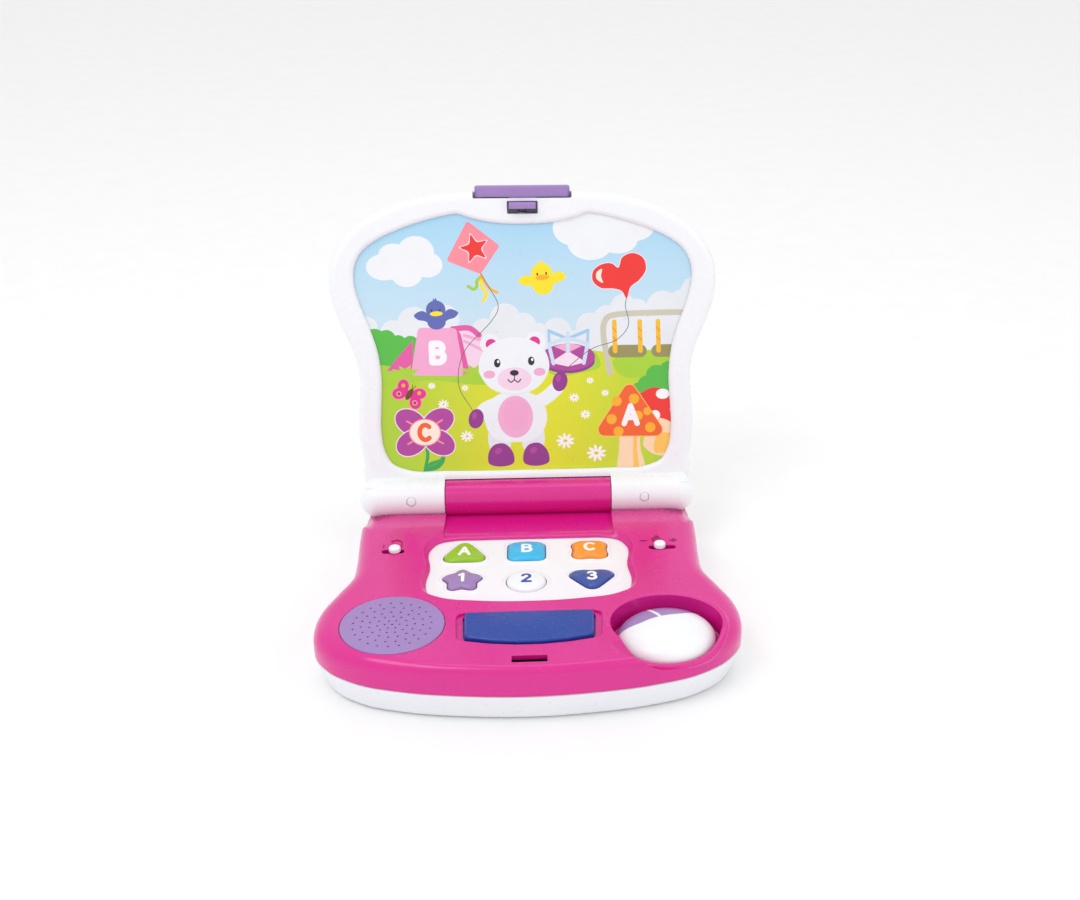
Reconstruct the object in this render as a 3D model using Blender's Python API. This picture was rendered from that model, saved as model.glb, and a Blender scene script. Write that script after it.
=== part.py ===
"""Toy laptop computer: a pink and white clamshell toy with shaped keys, a pressable mouse and a picture lid.

Sizes are in millimetres and become metres when a mesh is made. +Z is up, +Y points to the hinge,
and the origin is on the flat underside. The lid stands open at its stop.
"""

import math

import bmesh
import bpy
import numpy as np
from mathutils import Vector

MM = 0.001

# Driving dimensions
DECK_Z = 36.0  # top face of the base
SEAM_Z = 18.5  # joint between the white and the pink half of the base
HINGE_Y = 86.0
HINGE_Z = DECK_Z
LEAN_BACK = 15.0  # degrees behind upright when the lid is open
WALL = 2.4
GAP = 0.3

# Hinge
BARREL_R = 11.0
BARREL_START = 51.2
BARREL_END = 103.5
CAP_X, CAP_Z = 71.5, 0.4
# Sections across the rear of the base, as (y, z): the deck's slope to the hinge, the wall under it, and
# the lower shelf between the two barrels
SLOPE = [(47.3, DECK_Z + 0.4), (79.5, DECK_Z - 6.4), (79.5, 60), (47.3, 60)]
SLOPE_BACKING = [(45.6, 33.0), (84, 24.6), (84, 28.3), (70, 33.4), (45.6, 34.7)]
SHELF = [(37.2, DECK_Z - 1.4), (44.2, DECK_Z - 1.4), (79.6, 27.5), (79.6, 50), (37.2, 50)]
KNUCKLE_END = 50.9
PIN_R = 2.0
PIN_BORE_R = PIN_R + GAP

# Lid, in its own frame: x across, y towards its back, z up from the hinge axis
LID_FACE = 0.8
LID_SEAM = 8.0
LID_BACK = 17.8
LID_FOOT = 3.0
PICTURE_DEPTH = 3.0

# Keys
PANEL_DEPTH = 3.8
PANEL_TOP = DECK_Z - PANEL_DEPTH
PANEL_THICK = 2.0
KEY_TOP = DECK_Z - 0.5
KEY_TRAVEL = 1.5

# Other controls
BAY_CENTRE = (74.0, -59.4)
BAY_RX, BAY_RY = 30.5, 26.6
BAY_FLOOR = 17.0
BAY_DIP = 8.6  # how far the bay's rim falls at the front
SCOOP_REACH = 12.0  # how far the hollow round the bay's front reaches out
FLANGE_REACH = 13.4
MOUSE_CENTRE = (74.3, -60.6)
MOUSE_RX, MOUSE_RY = 26.8, 24.6
GRILLE_CENTRE = (-73.4, -55.4)
GRILLE_R = 28.0
SLOT_X = 9.1
SLOT_Y = (-93.9, -88.0)
POWER_KNOB = (-77.7, 22.2)
POWER_SLOT = (-85.2, -72.2)
VOLUME_KNOB = (76.6, 20.0)
VOLUME_SLOT = (70.0, 86.0)

# Fixings
BASE_SCREWS = [(side * x, y) for side in (-1, 1) for x, y in ((89.0, 51.0), (104.0, -32.0), (28.0, -85.5))]
LID_SCREWS = [(side * x, z) for side in (-1, 1) for x, z in ((94.7, 44.0), (62.0, 174.9))]
BATTERY_X, BATTERY_Y, BATTERY_TOP = 29.0, (20.0, 66.0), 17.4
DOOR_SCREW = (0.0, 14.6)
CELL_R = 7.1

# Colours, linear RGB
PINK = (0.80, 0.083, 0.36)
WHITE = (0.86, 0.86, 0.87)
PURPLE = (0.33, 0.20, 0.50)
STEEL = (0.62, 0.62, 0.64)

# Half outlines, right side, from the middle of the back to the middle of the front
BASE_HALF = [(0, 100.5), (62, 100.5), (86, 98.8), (95.6, 92.4), (99.6, 81), (100.6, 64), (100.5, 42),
             (99.9, 21), (100.9, 2), (109, -17.6), (115, -33.4), (116.7, -45.5), (115, -59.2), (107, -72.4),
             (91.4, -84.4), (66, -93.2), (34, -98.4), (0, -100.5)]
LID_HALF = [(0, 188), (30, 187.2), (58, 184.6), (76, 180.2), (88, 175.2), (97.4, 169.6), (105.4, 162.4),
            (111.6, 154), (115.8, 144.6), (117.2, 134), (115.6, 121), (110.6, 106.5), (104.6, 92),
            (101.6, 79), (101.8, 64), (103.1, 47), (102.4, 34), (100.6, 23), (101, 13.5), (97.4, 6.2),
            (89, LID_FOOT), (50, LID_FOOT), (0, LID_FOOT)]
PICTURE_HALF = [(0, 167.6), (20, 168.8), (34, 172.2), (39, 174), (44, 173.4), (60, 169.7), (76, 164.3),
                (88, 158.6), (96.6, 152), (101.2, 143.4), (102, 134), (99.4, 121.6), (94, 106.6),
                (89.4, 91), (87.7, 74), (88.5, 58), (89.1, 42), (87.4, 29.6), (83, 21.6), (74, 17.6),
                (50, 16.5), (0, 16.2)]
KEYPAD_HALF = [(0, 38.5), (30, 38.4), (44, 38.1), (52.8, 35), (56.9, 28), (56.2, 6), (57.6, -12),
               (56, -19.8), (48.5, -25.4), (28, -29.8), (0, -31.4)]


# Plane curves ------------------------------------------------------------------------------------

def mirrored(half):
    """The whole outline, counter-clockwise, from its right half given from back to front."""
    left = [(-x, y) for x, y in half[1:-1]]
    return left + half[::-1]


def smooth_loop(points, spacing):
    """A closed smooth curve through the points, as points about one spacing apart."""
    p = np.array(points, float)
    before, after = np.roll(p, 1, 0), np.roll(p, -1, 0)
    d_in = np.linalg.norm(p - before, axis=1)[:, None]
    d_out = np.linalg.norm(after - p, axis=1)[:, None]
    slope = ((p - before) / d_in * d_out + (after - p) / d_out * d_in) / (d_in + d_out)
    loop = []
    for i in range(len(p)):
        j = (i + 1) % len(p)
        span = d_out[i, 0]
        for t in np.arange(0, 1, 1 / max(1, round(span / spacing))):
            a, b = 2 * t**3 - 3 * t**2 + 1, t**3 - 2 * t**2 + t
            c, d = 3 * t**2 - 2 * t**3, t**3 - t**2
            loop.append(a * p[i] + b * span * slope[i] + c * p[j] + d * span * slope[j])
    return np.array(loop)


def outline(half, spacing):
    return smooth_loop(mirrored(half), spacing)


def inset(loop, distance):
    """The counter-clockwise loop moved inwards by a distance, one number or one for each point."""
    ahead = np.roll(loop, -1, 0) - np.roll(loop, 1, 0)
    inward = np.stack([-ahead[:, 1], ahead[:, 0]], 1) / np.linalg.norm(ahead, axis=1)[:, None]
    return loop + inward * np.broadcast_to(distance, len(loop))[:, None]


def ellipse(rx, ry, sides, centre=(0, 0)):
    angles = (np.arange(sides) + 0.5) * 2 * math.pi / sides
    return np.stack([centre[0] + rx * np.cos(angles), centre[1] + ry * np.sin(angles)], 1)


def rounded(corners, radius, arc=4):
    """A counter-clockwise convex outline whose corners are arcs centred on the given points."""
    loop = []
    for i, (x, y) in enumerate(corners):
        ahead = np.subtract(corners[(i + 1) % len(corners)], (x, y))
        behind = np.subtract((x, y), corners[i - 1])
        start = math.atan2(-behind[0], behind[1])
        turn = (math.atan2(-ahead[0], ahead[1]) - start) % (2 * math.pi)
        steps = round(arc * turn / (math.pi / 2))
        for t in np.linspace(0, 1, steps + 1) if steps else (0.5,):
            a = start + turn * t
            loop.append((x + radius * math.cos(a), y + radius * math.sin(a)))
    return np.array(loop)


def lobed(radius, wave, lobes, first, sides):
    """A closed curve whose radius swells a number of times, first at the angle first in degrees."""
    angles = np.arange(sides) * 2 * math.pi / sides
    r = radius + wave * np.cos(lobes * (angles - math.radians(first)))
    return np.stack([r * np.cos(angles), r * np.sin(angles)], 1)


# Solids ------------------------------------------------------------------------------------------

def at_height(loop, z):
    """The plane loop as points at one height, or at one height for each point."""
    return np.column_stack([loop, np.broadcast_to(z, len(loop))])


def loft(name, rings, place=None):
    """A closed solid through rings of equal length, with a flat cap on the first and the last."""
    bm = bmesh.new()
    rows = [[bm.verts.new(Vector(p) * MM) for p in ring] for ring in rings]
    for low, high in zip(rows, rows[1:]):
        for i in range(len(low)):
            j = (i + 1) % len(low)
            bm.faces.new((low[i], low[j], high[j], high[i]))
    bm.faces.new(rows[0][::-1])
    bm.faces.new(rows[-1])
    bmesh.ops.recalc_face_normals(bm, faces=bm.faces)
    mesh = bpy.data.meshes.new(name)
    bm.to_mesh(mesh)
    bm.free()
    mesh.shade_smooth()
    mesh.set_sharp_from_angle(angle=math.radians(35))
    part = bpy.data.objects.new(name, mesh)
    bpy.context.scene.collection.objects.link(part)
    if place:
        part.location = Vector(place) * MM
    return part


def prism(name, loop, z0, z1, place=None):
    return loft(name, [at_height(loop, z0), at_height(loop, z1)], place)


def block(name, x, y, z, place=None):
    """A box between two x, two y and two z values."""
    return prism(name, np.array([(x[0], y[0]), (x[1], y[0]), (x[1], y[1]), (x[0], y[1])], float), *z, place)


def turned(name, profile, sides, axis="Z", place=None):
    """A turned solid from (radius, distance along the axis) pairs."""
    rings = []
    for r, h in profile:
        c = ellipse(r, r, sides)
        if axis == "X":
            rings.append(np.column_stack([np.full(sides, h), c]))
        elif axis == "Y":
            rings.append(np.column_stack([c[:, 0], np.full(sides, h), c[:, 1]]))
        else:
            rings.append(at_height(c, h))
    return loft(name, rings, place)


def helix(name, radius, wire, z0, z1, turns, place):
    """A compression spring of round wire."""
    curve = bpy.data.curves.new(name, "CURVE")
    curve.dimensions = "3D"
    curve.bevel_depth = wire * MM
    curve.bevel_resolution = 0
    curve.use_fill_caps = True
    line = curve.splines.new("POLY")
    count = int(turns * 8)
    line.points.add(count)
    for i in range(count + 1):
        a = 2 * math.pi * turns * i / count
        z = z0 + (z1 - z0) * i / count
        line.points[i].co = (radius * math.cos(a) * MM, radius * math.sin(a) * MM, z * MM, 1)
    part = bpy.data.objects.new(name, curve)
    bpy.context.scene.collection.objects.link(part)
    part.location = Vector(place) * MM
    return part


def lead(name, points, radius):
    """A clipped lead: a tube along a smooth route through the points."""
    route = catenate(points, 3)
    curve = bpy.data.curves.new(name, "CURVE")
    curve.dimensions = "3D"
    curve.bevel_depth = radius * MM
    curve.bevel_resolution = 0
    curve.use_fill_caps = True
    line = curve.splines.new("POLY")
    line.points.add(len(route) - 1)
    for point, p in zip(line.points, route):
        point.co = (*(p * MM), 1)
    part = bpy.data.objects.new(name, curve)
    bpy.context.scene.collection.objects.link(part)
    return part


def catenate(points, steps):
    """Points along one smooth open curve through the given points."""
    p = np.array(points, float)
    padded = np.vstack([2 * p[0] - p[1], p, 2 * p[-1] - p[-2]])
    route = []
    for i in range(len(p) - 1):
        a, b, c, d = padded[i : i + 4]
        for t in np.arange(steps) / steps:
            route.append(0.5 * (2 * b + (c - a) * t + (2 * a - 5 * b + 4 * c - d) * t**2
                                + (3 * b - a - 3 * c + d) * t**3))
    return route + [p[-1]]


def change(part, operation, *others):
    """Leaves a Boolean on the part for each helper solid, which is then hidden."""
    for other in others:
        modifier = part.modifiers.new(f"{operation.lower()} {other.name}", "BOOLEAN")
        modifier.operation = operation
        modifier.object = other
        modifier.solver = "EXACT"
        other.hide_render = True
        other.display_type = "WIRE"
        other.parent = part.parent


def cut(part, *others):
    change(part, "DIFFERENCE", *others)


def add(part, *others):
    change(part, "UNION", *others)


def finish(part, colour, roughness=0.3, metallic=0.0):
    """Gives the part its own Principled material."""
    material = bpy.data.materials.new(part.name)
    material.use_nodes = True
    shader = material.node_tree.nodes["Principled BSDF"]
    shader.inputs["Base Color"].default_value = (*colour, 1)
    shader.inputs["Roughness"].default_value = roughness
    shader.inputs["Metallic"].default_value = metallic
    part.data.materials.append(material)
    return part


def empty(name, place, parent=None, lean=0.0):
    frame = bpy.data.objects.new(name, None)
    bpy.context.scene.collection.objects.link(frame)
    frame.location = Vector(place) * MM
    frame.rotation_euler.x = math.radians(lean)
    frame.parent = parent
    return frame


# Base --------------------------------------------------------------------------------------------

def smoothstep(value, low, high):
    t = np.clip((value - low) / (high - low), 0, 1)
    return t * t * (3 - 2 * t)


def shoulder(loop):
    """How far the rounded edge of the deck reaches in from the outline, at each point."""
    x, y = np.abs(loop[:, 0]), loop[:, 1]
    front = 5 + 2.5 * smoothstep(x, 45, 78) + 3.5 * smoothstep(x, 84, 112)
    back = 3 + 5.5 * smoothstep(x, 80, 100)
    return front + (back - front) * smoothstep(y, 0, 70)


def deck_rings(loop, steps):
    """The rounded edge of the pink half, from its seam up to the flat deck."""
    width = shoulder(loop)
    rings = [at_height(loop, SEAM_Z), at_height(loop, 24.0)]
    for i in range(steps + 1):
        a = math.pi / 2 * i / steps
        rings.append(at_height(inset(loop, width * (1 - math.cos(a))), DECK_Z - width * (1 - math.sin(a))))
    return rings


def base_top_shell():
    loop = outline(BASE_HALF, 14)
    inner = [at_height(inset(loop, WALL), SEAM_Z), at_height(inset(loop, WALL), 24.0),
             at_height(inset(loop, shoulder(loop) + 1.6), DECK_Z - 2.6)]
    shell = loft("base_top_shell", deck_rings(loop, 3)[::-1] + inner)
    keypad = outline(KEYPAD_HALF, 12)
    add(shell, prism("keypad_collar", inset(keypad, -5.4), PANEL_TOP + GAP, DECK_Z - 1))
    add_hinge_troughs(shell, loop)
    add(shell, bay_flange(loop), mouse_bay_body())
    cut(shell, loft("keypad_opening", [at_height(keypad, PANEL_TOP - 1),
                                       at_height(keypad, PANEL_TOP + 0.8),
                                       at_height(inset(keypad, -3.6), DECK_Z + 0.5)]))
    cut(shell, mouse_bay_cavity())
    cut(shell, bay_scoop())
    for hole in deck_holes():
        cut(shell, hole)
    for i, (x, y) in enumerate(BASE_SCREWS):
        add(shell, turned(f"top_boss{i}", [(3.8, 9.0), (3.8, DECK_Z - 1.4)], 8, place=(x, y, 0)))
        cut(shell, turned(f"top_boss_hole{i}", [(1.6, 8.0), (1.6, 19.0)], 6, place=(x, y, 0)))
    return finish(shell, PINK, 0.25)


def add_hinge_troughs(shell, loop):
    """Gives the shell two lined troughs for the lid's barrels, and the centre knuckle between them."""
    axis = (0, HINGE_Y, HINGE_Z)
    body = loft("under_skin", [ring - (0, 0, 1.2) for ring in deck_rings(inset(loop, 0.8), 2)])
    add(shell, across("slope_backing", 95, SLOPE_BACKING))
    for side in (-1, 1):
        ends = (side * (KNUCKLE_END - 2.5), side * 110)
        liner = turned(f"trough_liner{side}", [(BARREL_R + 2.9, x) for x in ends], 24, "X", axis)
        change(liner, "INTERSECT", body)
        add(shell, liner)
    cut(shell, across("rear_slope", 130, SLOPE))
    cut(shell, block("over_back_wall", (-130, 130), (HINGE_Y - 1, HINGE_Y + 30), (DECK_Z - 4.6, DECK_Z + 30)))
    for side in (-1, 1):
        ends = (side * KNUCKLE_END, side * 130)
        cut(shell, turned(f"trough{side}", [(BARREL_R + 0.7, x) for x in ends], 24, "X", axis))
    cut(shell, across("shelf", 50.5, SHELF))
    add(shell, turned("knuckle", [(BARREL_R, -KNUCKLE_END), (BARREL_R, KNUCKLE_END)], 28, "X", axis))
    add(shell, block("knuckle_web", (-50, 50), (HINGE_Y - 3.6, HINGE_Y + 13.1), (DECK_Z - 12.6, DECK_Z - 5.2)))
    cut(shell, turned("knuckle_core", [(8.8, -40), (8.8, 40)], 16, "X", axis))
    cut(shell, block("knuckle_way_in", (-40, 40), (HINGE_Y - 7, HINGE_Y + 7), (DECK_Z - 20, DECK_Z)))
    cut(shell, turned("pin_bore", [(PIN_BORE_R, -60), (PIN_BORE_R, 60)], 12, "X", axis))


def across(name, half_width, section):
    """A bar right across the toy, given by its section in y and z."""
    return loft(name, [[(x, y, z) for y, z in section] for x in (-half_width, half_width)])


def bay_rim_height(loop):
    """The bay's rim is level with the deck and dips where the front edge falls away."""
    return DECK_Z + 0.3 - BAY_DIP * smoothstep(-loop[:, 1], 62, 87)


def bay_ring(larger, z=None):
    """The bay's ellipse made larger, at one height or at its rim."""
    loop = ellipse(BAY_RX + larger, BAY_RY + larger, 30, BAY_CENTRE)
    return at_height(loop, bay_rim_height(loop) if z is None else z)


def mouse_bay_body():
    below_rim = bay_ring(1.6)
    below_rim[:, 2] -= 1.0
    return loft("mouse_bay_body", [bay_ring(-2.6, BAY_FLOOR - 2), bay_ring(-2.6, BAY_FLOOR + 2),
                                   bay_ring(1.6, BAY_FLOOR + 5), below_rim, bay_ring(0.9), bay_ring(-2)])


def bay_flange(loop):
    """The sloping wall under the scoop, which closes the base beneath it. It stays within the base's skin."""
    low, high = 20.5, DECK_Z - 0.9
    edge = bay_ring(FLANGE_REACH)
    edge[:, 2] = DECK_Z - 1.3 - 3.4 * smoothstep(-bay_ring(0)[:, 1], 64, 87)
    flange = loft("bay_flange", [bay_ring(-1.5, low), bay_ring(0.5, low), edge,
                                 bay_ring(FLANGE_REACH - 0.2, high), bay_ring(-1.5, high)])
    cut(flange, block("clear_of_bar", (10, 39.3), (-95, -30), (10, 45)))
    skin = loft("bay_skin", [ring - (0, 0, 1.1) for ring in deck_rings(inset(loop, 0.7), 3)])
    change(flange, "INTERSECT", skin)
    return flange


def bay_scoop():
    """The hollow in the deck round the front of the bay, which lets the rim dip."""
    rings = []
    for larger in (-15, 2.5):
        ring = bay_ring(larger)
        ring[:, 2] += 1.1 - 2.3 * smoothstep(-ring[:, 1], 62, 74)
        rings.append(ring)
    return loft("bay_scoop", rings + [bay_ring(SCOOP_REACH, DECK_Z + 1.5), bay_ring(SCOOP_REACH, DECK_Z + 9)])


def mouse_bay_cavity():
    """The space in the bay, with all that would stand above its dipping rim."""
    return loft("mouse_bay_cavity", [bay_ring(-4.4, BAY_FLOOR), bay_ring(-4.4, BAY_FLOOR + 2.4),
                                     bay_ring(0, BAY_FLOOR + 5.2), bay_ring(0, DECK_Z + 6)])


def bar_outline(extra_x=0.0, extra_y=0.0):
    """The long bar button: straight at the back, bowed at the front."""
    bow = [(x, -68.2 - 5.0 * (1 - (x / 31.4) ** 2)) for x in (-31.4, -19, -6.4, 6.4, 19, 31.4)]
    corners = bow + [(32.2, -49.7), (-32.2, -49.7)]
    loop = rounded(corners, 3.0, 2)
    centre = loop.mean(0)
    return inset((loop - centre) * (1 + extra_x / 35, 1) + centre, -extra_y)


def deck_holes():
    x, y = GRILLE_CENTRE
    yield prism("bar_opening", bar_outline(0.4, 0.5), 20, 50)
    yield prism("bar_well", bar_outline(3.4, 1.4), DECK_Z - 1.7, 50)
    yield turned("grille_seat", [(GRILLE_R + GAP, DECK_Z - 1.6), (GRILLE_R + GAP, 50)], 30, place=(x, y, 0))
    yield turned("grille_hole", [(25.5, 25), (25.5, 50)], 22, place=(x, y, 0))
    yield block("latch_slot", (-SLOT_X, SLOT_X), SLOT_Y, (20, 50))
    yield block("hook_room", (-SLOT_X - 0.4, SLOT_X + 0.4), (-96.2, -90.0), (25.3, DECK_Z - 2.8))
    for name, ends, (_, y) in (("power_slot", POWER_SLOT, POWER_KNOB), ("volume_slot", VOLUME_SLOT, VOLUME_KNOB)):
        yield prism(name, rounded([(ends[0] + 2.2, y), (ends[1] - 2.2, y)], 2.2, 5), 25, 50)


def base_bottom_shell():
    loop = outline(BASE_HALF, 14)
    outer = [at_height(inset(loop, 4.8 + 4.6 * (1 - math.cos(a))), 4.6 * (1 - math.sin(a)))
             for a in (math.pi / 2, math.pi / 4, 0)]
    outer.append(at_height(loop, SEAM_Z - GAP))
    inner = [at_height(inset(loop, WALL), SEAM_Z - GAP), at_height(inset(loop, WALL + 5.2), WALL)]
    shell = loft("base_bottom_shell", outer + inner)
    box = (-BATTERY_X - 1.6, BATTERY_X + 1.6), (BATTERY_Y[0] - 1.6, BATTERY_Y[1] + 1.6)
    add(shell, block("battery_box", *box, (1.0, BATTERY_TOP + 1.5)))
    cut(shell, block("battery_bay", (-BATTERY_X, BATTERY_X), BATTERY_Y, (2.7, BATTERY_TOP)))
    cut(shell, block("battery_door_seat", (-BATTERY_X - 1.3, BATTERY_X + 1.3),
                     (BATTERY_Y[0] + 1.0, BATTERY_Y[1] + 1.3), (-1, 2.8)))
    add(shell, block("door_screw_boss", (-10, 10), (8.4, 19), (1.0, 14)))
    cut(shell, turned("door_screw_hole", [(1.6, 3), (1.6, 12.6)], 10, place=(*DOOR_SCREW, 0)))
    cut(shell, block("door_tongue_seat", (-8.3, 8.3), (10.0, BATTERY_Y[0] + 2.0), (-1, 4.5)))
    for i, (x, y) in enumerate(BASE_SCREWS):
        add(shell, turned(f"pillar{i}", [(5.0, 1.0), (5.0, 8.6)], 8, place=(x, y, 0)))
        cut(shell, turned(f"screw_head_hole{i}", [(3.4, -1), (3.4, 5.4)], 10, place=(x, y, 0)))
        cut(shell, turned(f"screw_way{i}", [(1.7, 4), (1.7, 12)], 6, place=(x, y, 0)))
    return finish(shell, WHITE, 0.3)


def battery_door():
    door = block("battery_door", (-BATTERY_X - 1.0, BATTERY_X + 1.0), (BATTERY_Y[0] + 1.3, BATTERY_Y[1] + 1.0),
                 (0.2, 2.4))
    add(door, block("door_tongue", (-8.0, 8.0), (10.3, BATTERY_Y[0] + 1.7), (0.2, 4.2)))
    cut(door, turned("tongue_hole", [(1.7, -1), (1.7, 6)], 12, place=(*DOOR_SCREW, 0)))
    cut(door, turned("tongue_head_hole", [(3.2, -1), (3.2, 2.6)], 12, place=(*DOOR_SCREW, 0)))
    for x in (-24, -16, -8, 8, 16, 24):
        cut(door, block(f"door_groove{x}", (x - 0.8, x + 0.8), (30, 56), (-1, 0.7)))
    return finish(door, WHITE, 0.35)


def screw(name, place, head=(2.9, 2.0), shank=(1.3, 9.0), axis="Z", parent=None):
    """A self-tapping screw: its head is at the start of its axis."""
    r, h = head
    profile = [(r, 0.0), (r, h), (shank[0], h), (0.4, h + shank[1])]
    if axis == "Y":
        profile = [(radius, -along) for radius, along in profile]
    part = turned(name, profile, 8, axis, place)
    part.parent = parent
    return finish(part, STEEL, 0.3, 1.0)


def base_screws():
    for i, (x, y) in enumerate(BASE_SCREWS):
        screw(f"base_screw_{i + 1}", (x, y, 3.1), shank=(1.3, 12.0))
    screw("battery_door_screw", (*DOOR_SCREW, 0.5), head=(2.8, 1.8), shank=(1.3, 9.0))


def batteries():
    for i in range(3):
        y = BATTERY_Y[0] + 8.0 + i * 15.0
        way = 1 if i % 2 == 0 else -1
        profile = [(CELL_R, -22.4), (CELL_R, 26.3), (2.7, 26.3), (2.7, 27.6)]
        cell = turned(f"battery_{i + 1}", [(r, way * h) for r, h in profile], 16, "X",
                      (0, y, CELL_R + 2.9))
        finish(cell, (0.25, 0.5, 0.2), 0.4)
        spring_x = -way * (BATTERY_X - 1.6)
        coil = helix(f"battery_spring_{i + 1}", 3.4, 0.4, 0, 4.0, 2, (spring_x, y, CELL_R + 2.9))
        coil.rotation_euler.y = math.radians(90 * way)
        finish(coil, STEEL, 0.3, 1.0)
    for side, name in ((-1, "left"), (1, "right")):
        x = sorted((side * (BATTERY_X - 0.3), side * (BATTERY_X - 1.0)))
        plate = block(f"battery_contact_{name}", x, (BATTERY_Y[0] + 1.5, BATTERY_Y[1] - 1.5), (4.4, 15.6))
        finish(plate, STEEL, 0.3, 1.0)


# Controls ----------------------------------------------------------------------------------------

def heart_outline():
    """A soft heart: broad at the back with a shallow dip, and narrow at the front."""
    loop = resampled(rounded([(0, -5.6), (7.9, 4.4), (-7.9, 4.4)], 4.6, 7), 22)
    dip = 1.1 * np.exp(-((loop[:, 0] / 3.4) ** 2)) * (loop[:, 1] > 0)
    return np.column_stack([loop[:, 0], loop[:, 1] - dip])


def resampled(loop, count):
    """The closed loop as a number of evenly spaced points."""
    closed = np.vstack([loop, loop[:1]])
    along = np.concatenate([[0], np.cumsum(np.linalg.norm(np.diff(closed, axis=0), axis=1))])
    wanted = np.linspace(0, along[-1], count, endpoint=False)
    return np.column_stack([np.interp(wanted, along, closed[:, k]) for k in (0, 1)])


def key_shapes():
    """Name, outline, centre and colour of each shaped key."""
    triangle = resampled(rounded([(-7.2, -5.2), (7.2, -5.2), (0, 5.9)], 4.6, 7), 21)
    square = rounded([(-6.6, -6.1), (6.6, -6.1), (6.6, 6.1), (-6.6, 6.1)], 4.2, 3)
    clover = lobed(11.3, 1.6, 4, 45, 24) * (0.98, 0.93)
    star = lobed(9.9, 1.5, 5, 90, 25)
    return [
        ("key_a", triangle, (-37.5, 23.0), (0.41, 0.62, 0.04)),
        ("key_b", square, (-1.4, 23.4), (0.09, 0.60, 0.88)),
        ("key_c", clover, (35.5, 23.4), (0.95, 0.33, 0.02)),
        ("key_1", star, (-37.8, -7.6), PURPLE),
        ("key_2", ellipse(11.1, 11.1, 20), (-1.6, -10.0), WHITE),
        ("key_3", heart_outline(), (35.7, -9.2), (0.03, 0.09, 0.38)),
    ]


def grown(loop, distance):
    """The loop about its own origin with each point moved out along its radius."""
    return loop * (1 + distance / np.linalg.norm(loop, axis=1)[:, None])


def keypad_panel():
    under = inset(outline(KEYPAD_HALF, 12), -2.4)
    panel = prism("keypad_panel", under, PANEL_TOP - PANEL_THICK, PANEL_TOP)
    for name, loop, centre, _ in key_shapes():
        add(panel, prism(f"{name}_collar", grown(loop, 2.8), PANEL_TOP - 1, PANEL_TOP + 0.8, (*centre, 0)))
        cut(panel, prism(f"{name}_hole", inset(loop, -0.5), PANEL_TOP - 5, PANEL_TOP + 5, (*centre, 0)))
    return finish(panel, WHITE, 0.35)


def keys():
    flange = PANEL_TOP - PANEL_THICK - GAP - KEY_TOP
    for name, loop, centre, colour in key_shapes():
        rings = [at_height(inset(loop, -1.3), flange - 1.3), at_height(inset(loop, -1.3), flange),
                 at_height(loop, flange), at_height(loop, -1.6), at_height(inset(loop, 1.4), 0)]
        finish(loft(name, rings, (*centre, KEY_TOP)), colour, 0.2)


def bar_button():
    loop = bar_outline()
    centre = np.array((0, -60.0))
    top = DECK_Z + 1.3
    flange = DECK_Z - 2.6 - GAP - top
    rings = [at_height(inset(loop, 2.6), 27.7 - top), at_height(inset(loop, 2.6), flange - 1.4),
             at_height(inset(loop, -1.2), flange - 1.4), at_height(inset(loop, -1.2), flange),
             at_height(loop, flange), at_height(loop, -1.2), at_height(inset(loop, 0.5), -0.3),
             at_height(inset(loop, 1.5), 0)]
    for ring in rings:
        ring[:, :2] -= centre
    return finish(loft("bar_button", rings, (*centre, top)), (0.03, 0.11, 0.42), 0.25)


def mouse():
    """A hollow dome with a short skirt. Its origin is at the top of its travel, on its own centre line."""
    rx, ry, height, skirt = MOUSE_RX, MOUSE_RY, 11.0, 2.0
    outer = [at_height(ellipse(rx, ry, 28), -height - skirt), at_height(ellipse(rx, ry, 28), -height)]
    for a in (28, 52, 74):
        c, s = math.cos(math.radians(a)), math.sin(math.radians(a))
        outer.append(at_height(ellipse(rx * c, ry * c, 28), -height * (1 - s)))
    inner = [at_height(ellipse(rx - 2, ry - 2, 28), -height - skirt), at_height(ellipse(rx - 2, ry - 2, 28), -height)]
    for a in (45,):
        c, s = math.cos(math.radians(a)), math.sin(math.radians(a))
        inner.append(at_height(ellipse((rx - 2) * c, (ry - 2) * c, 28), -height + (height - 2) * s))
    return finish(loft("mouse", outer[::-1] + inner, (*MOUSE_CENTRE, DECK_Z + 1.0)), WHITE, 0.2)


def mouse_works():
    x, y = MOUSE_CENTRE
    finish(helix("mouse_spring", 5.0, 0.5, BAY_FLOOR + 1.0, DECK_Z - 4.6, 4, (x, y, 0)), STEEL, 0.3, 1.0)
    finish(block("mouse_switch", (-3.5, 3.5), (-3.5, 3.5), (BAY_FLOOR + GAP, BAY_FLOOR + 4.3),
                 (x - 14.0, y, 0)), (0.02, 0.02, 0.02), 0.4)


def slide_knob(name, place):
    """A round cap on a flat stem that runs in the slot."""
    cap = turned(name, [(3.5, 0.4), (3.8, 0.7), (3.8, 1.9), (3.2, 2.8), (2.0, 3.2)], 16, place=(*place, DECK_Z))
    add(cap, block(f"{name}_stem", (-1.8, 1.8), (-1.4, 1.4), (-7.4, 1.0), (*place, DECK_Z)))
    return finish(cap, WHITE, 0.25)


def slide_switch(name, ends, y):
    middle = (ends[0] + ends[1]) / 2
    half = (ends[1] - ends[0]) / 2
    body = block(name, (-half - 2.4, half + 2.4), (-4.6, 4.6), (-9.9, -2.9), (middle, y, DECK_Z))
    cut(body, block(f"{name}_channel", (-half, half), (-2.3, 2.3), (-8.2, 1), (middle, y, DECK_Z)))
    return finish(body, (0.02, 0.02, 0.02), 0.4)


def grille():
    x, y = GRILLE_CENTRE
    profile = [(GRILLE_R, -1.3), (GRILLE_R, -0.1), (GRILLE_R - 0.4, 0.2)]
    return finish(turned("speaker_grille", profile, 30, place=(x, y, DECK_Z)), PURPLE, 0.35)


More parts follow.
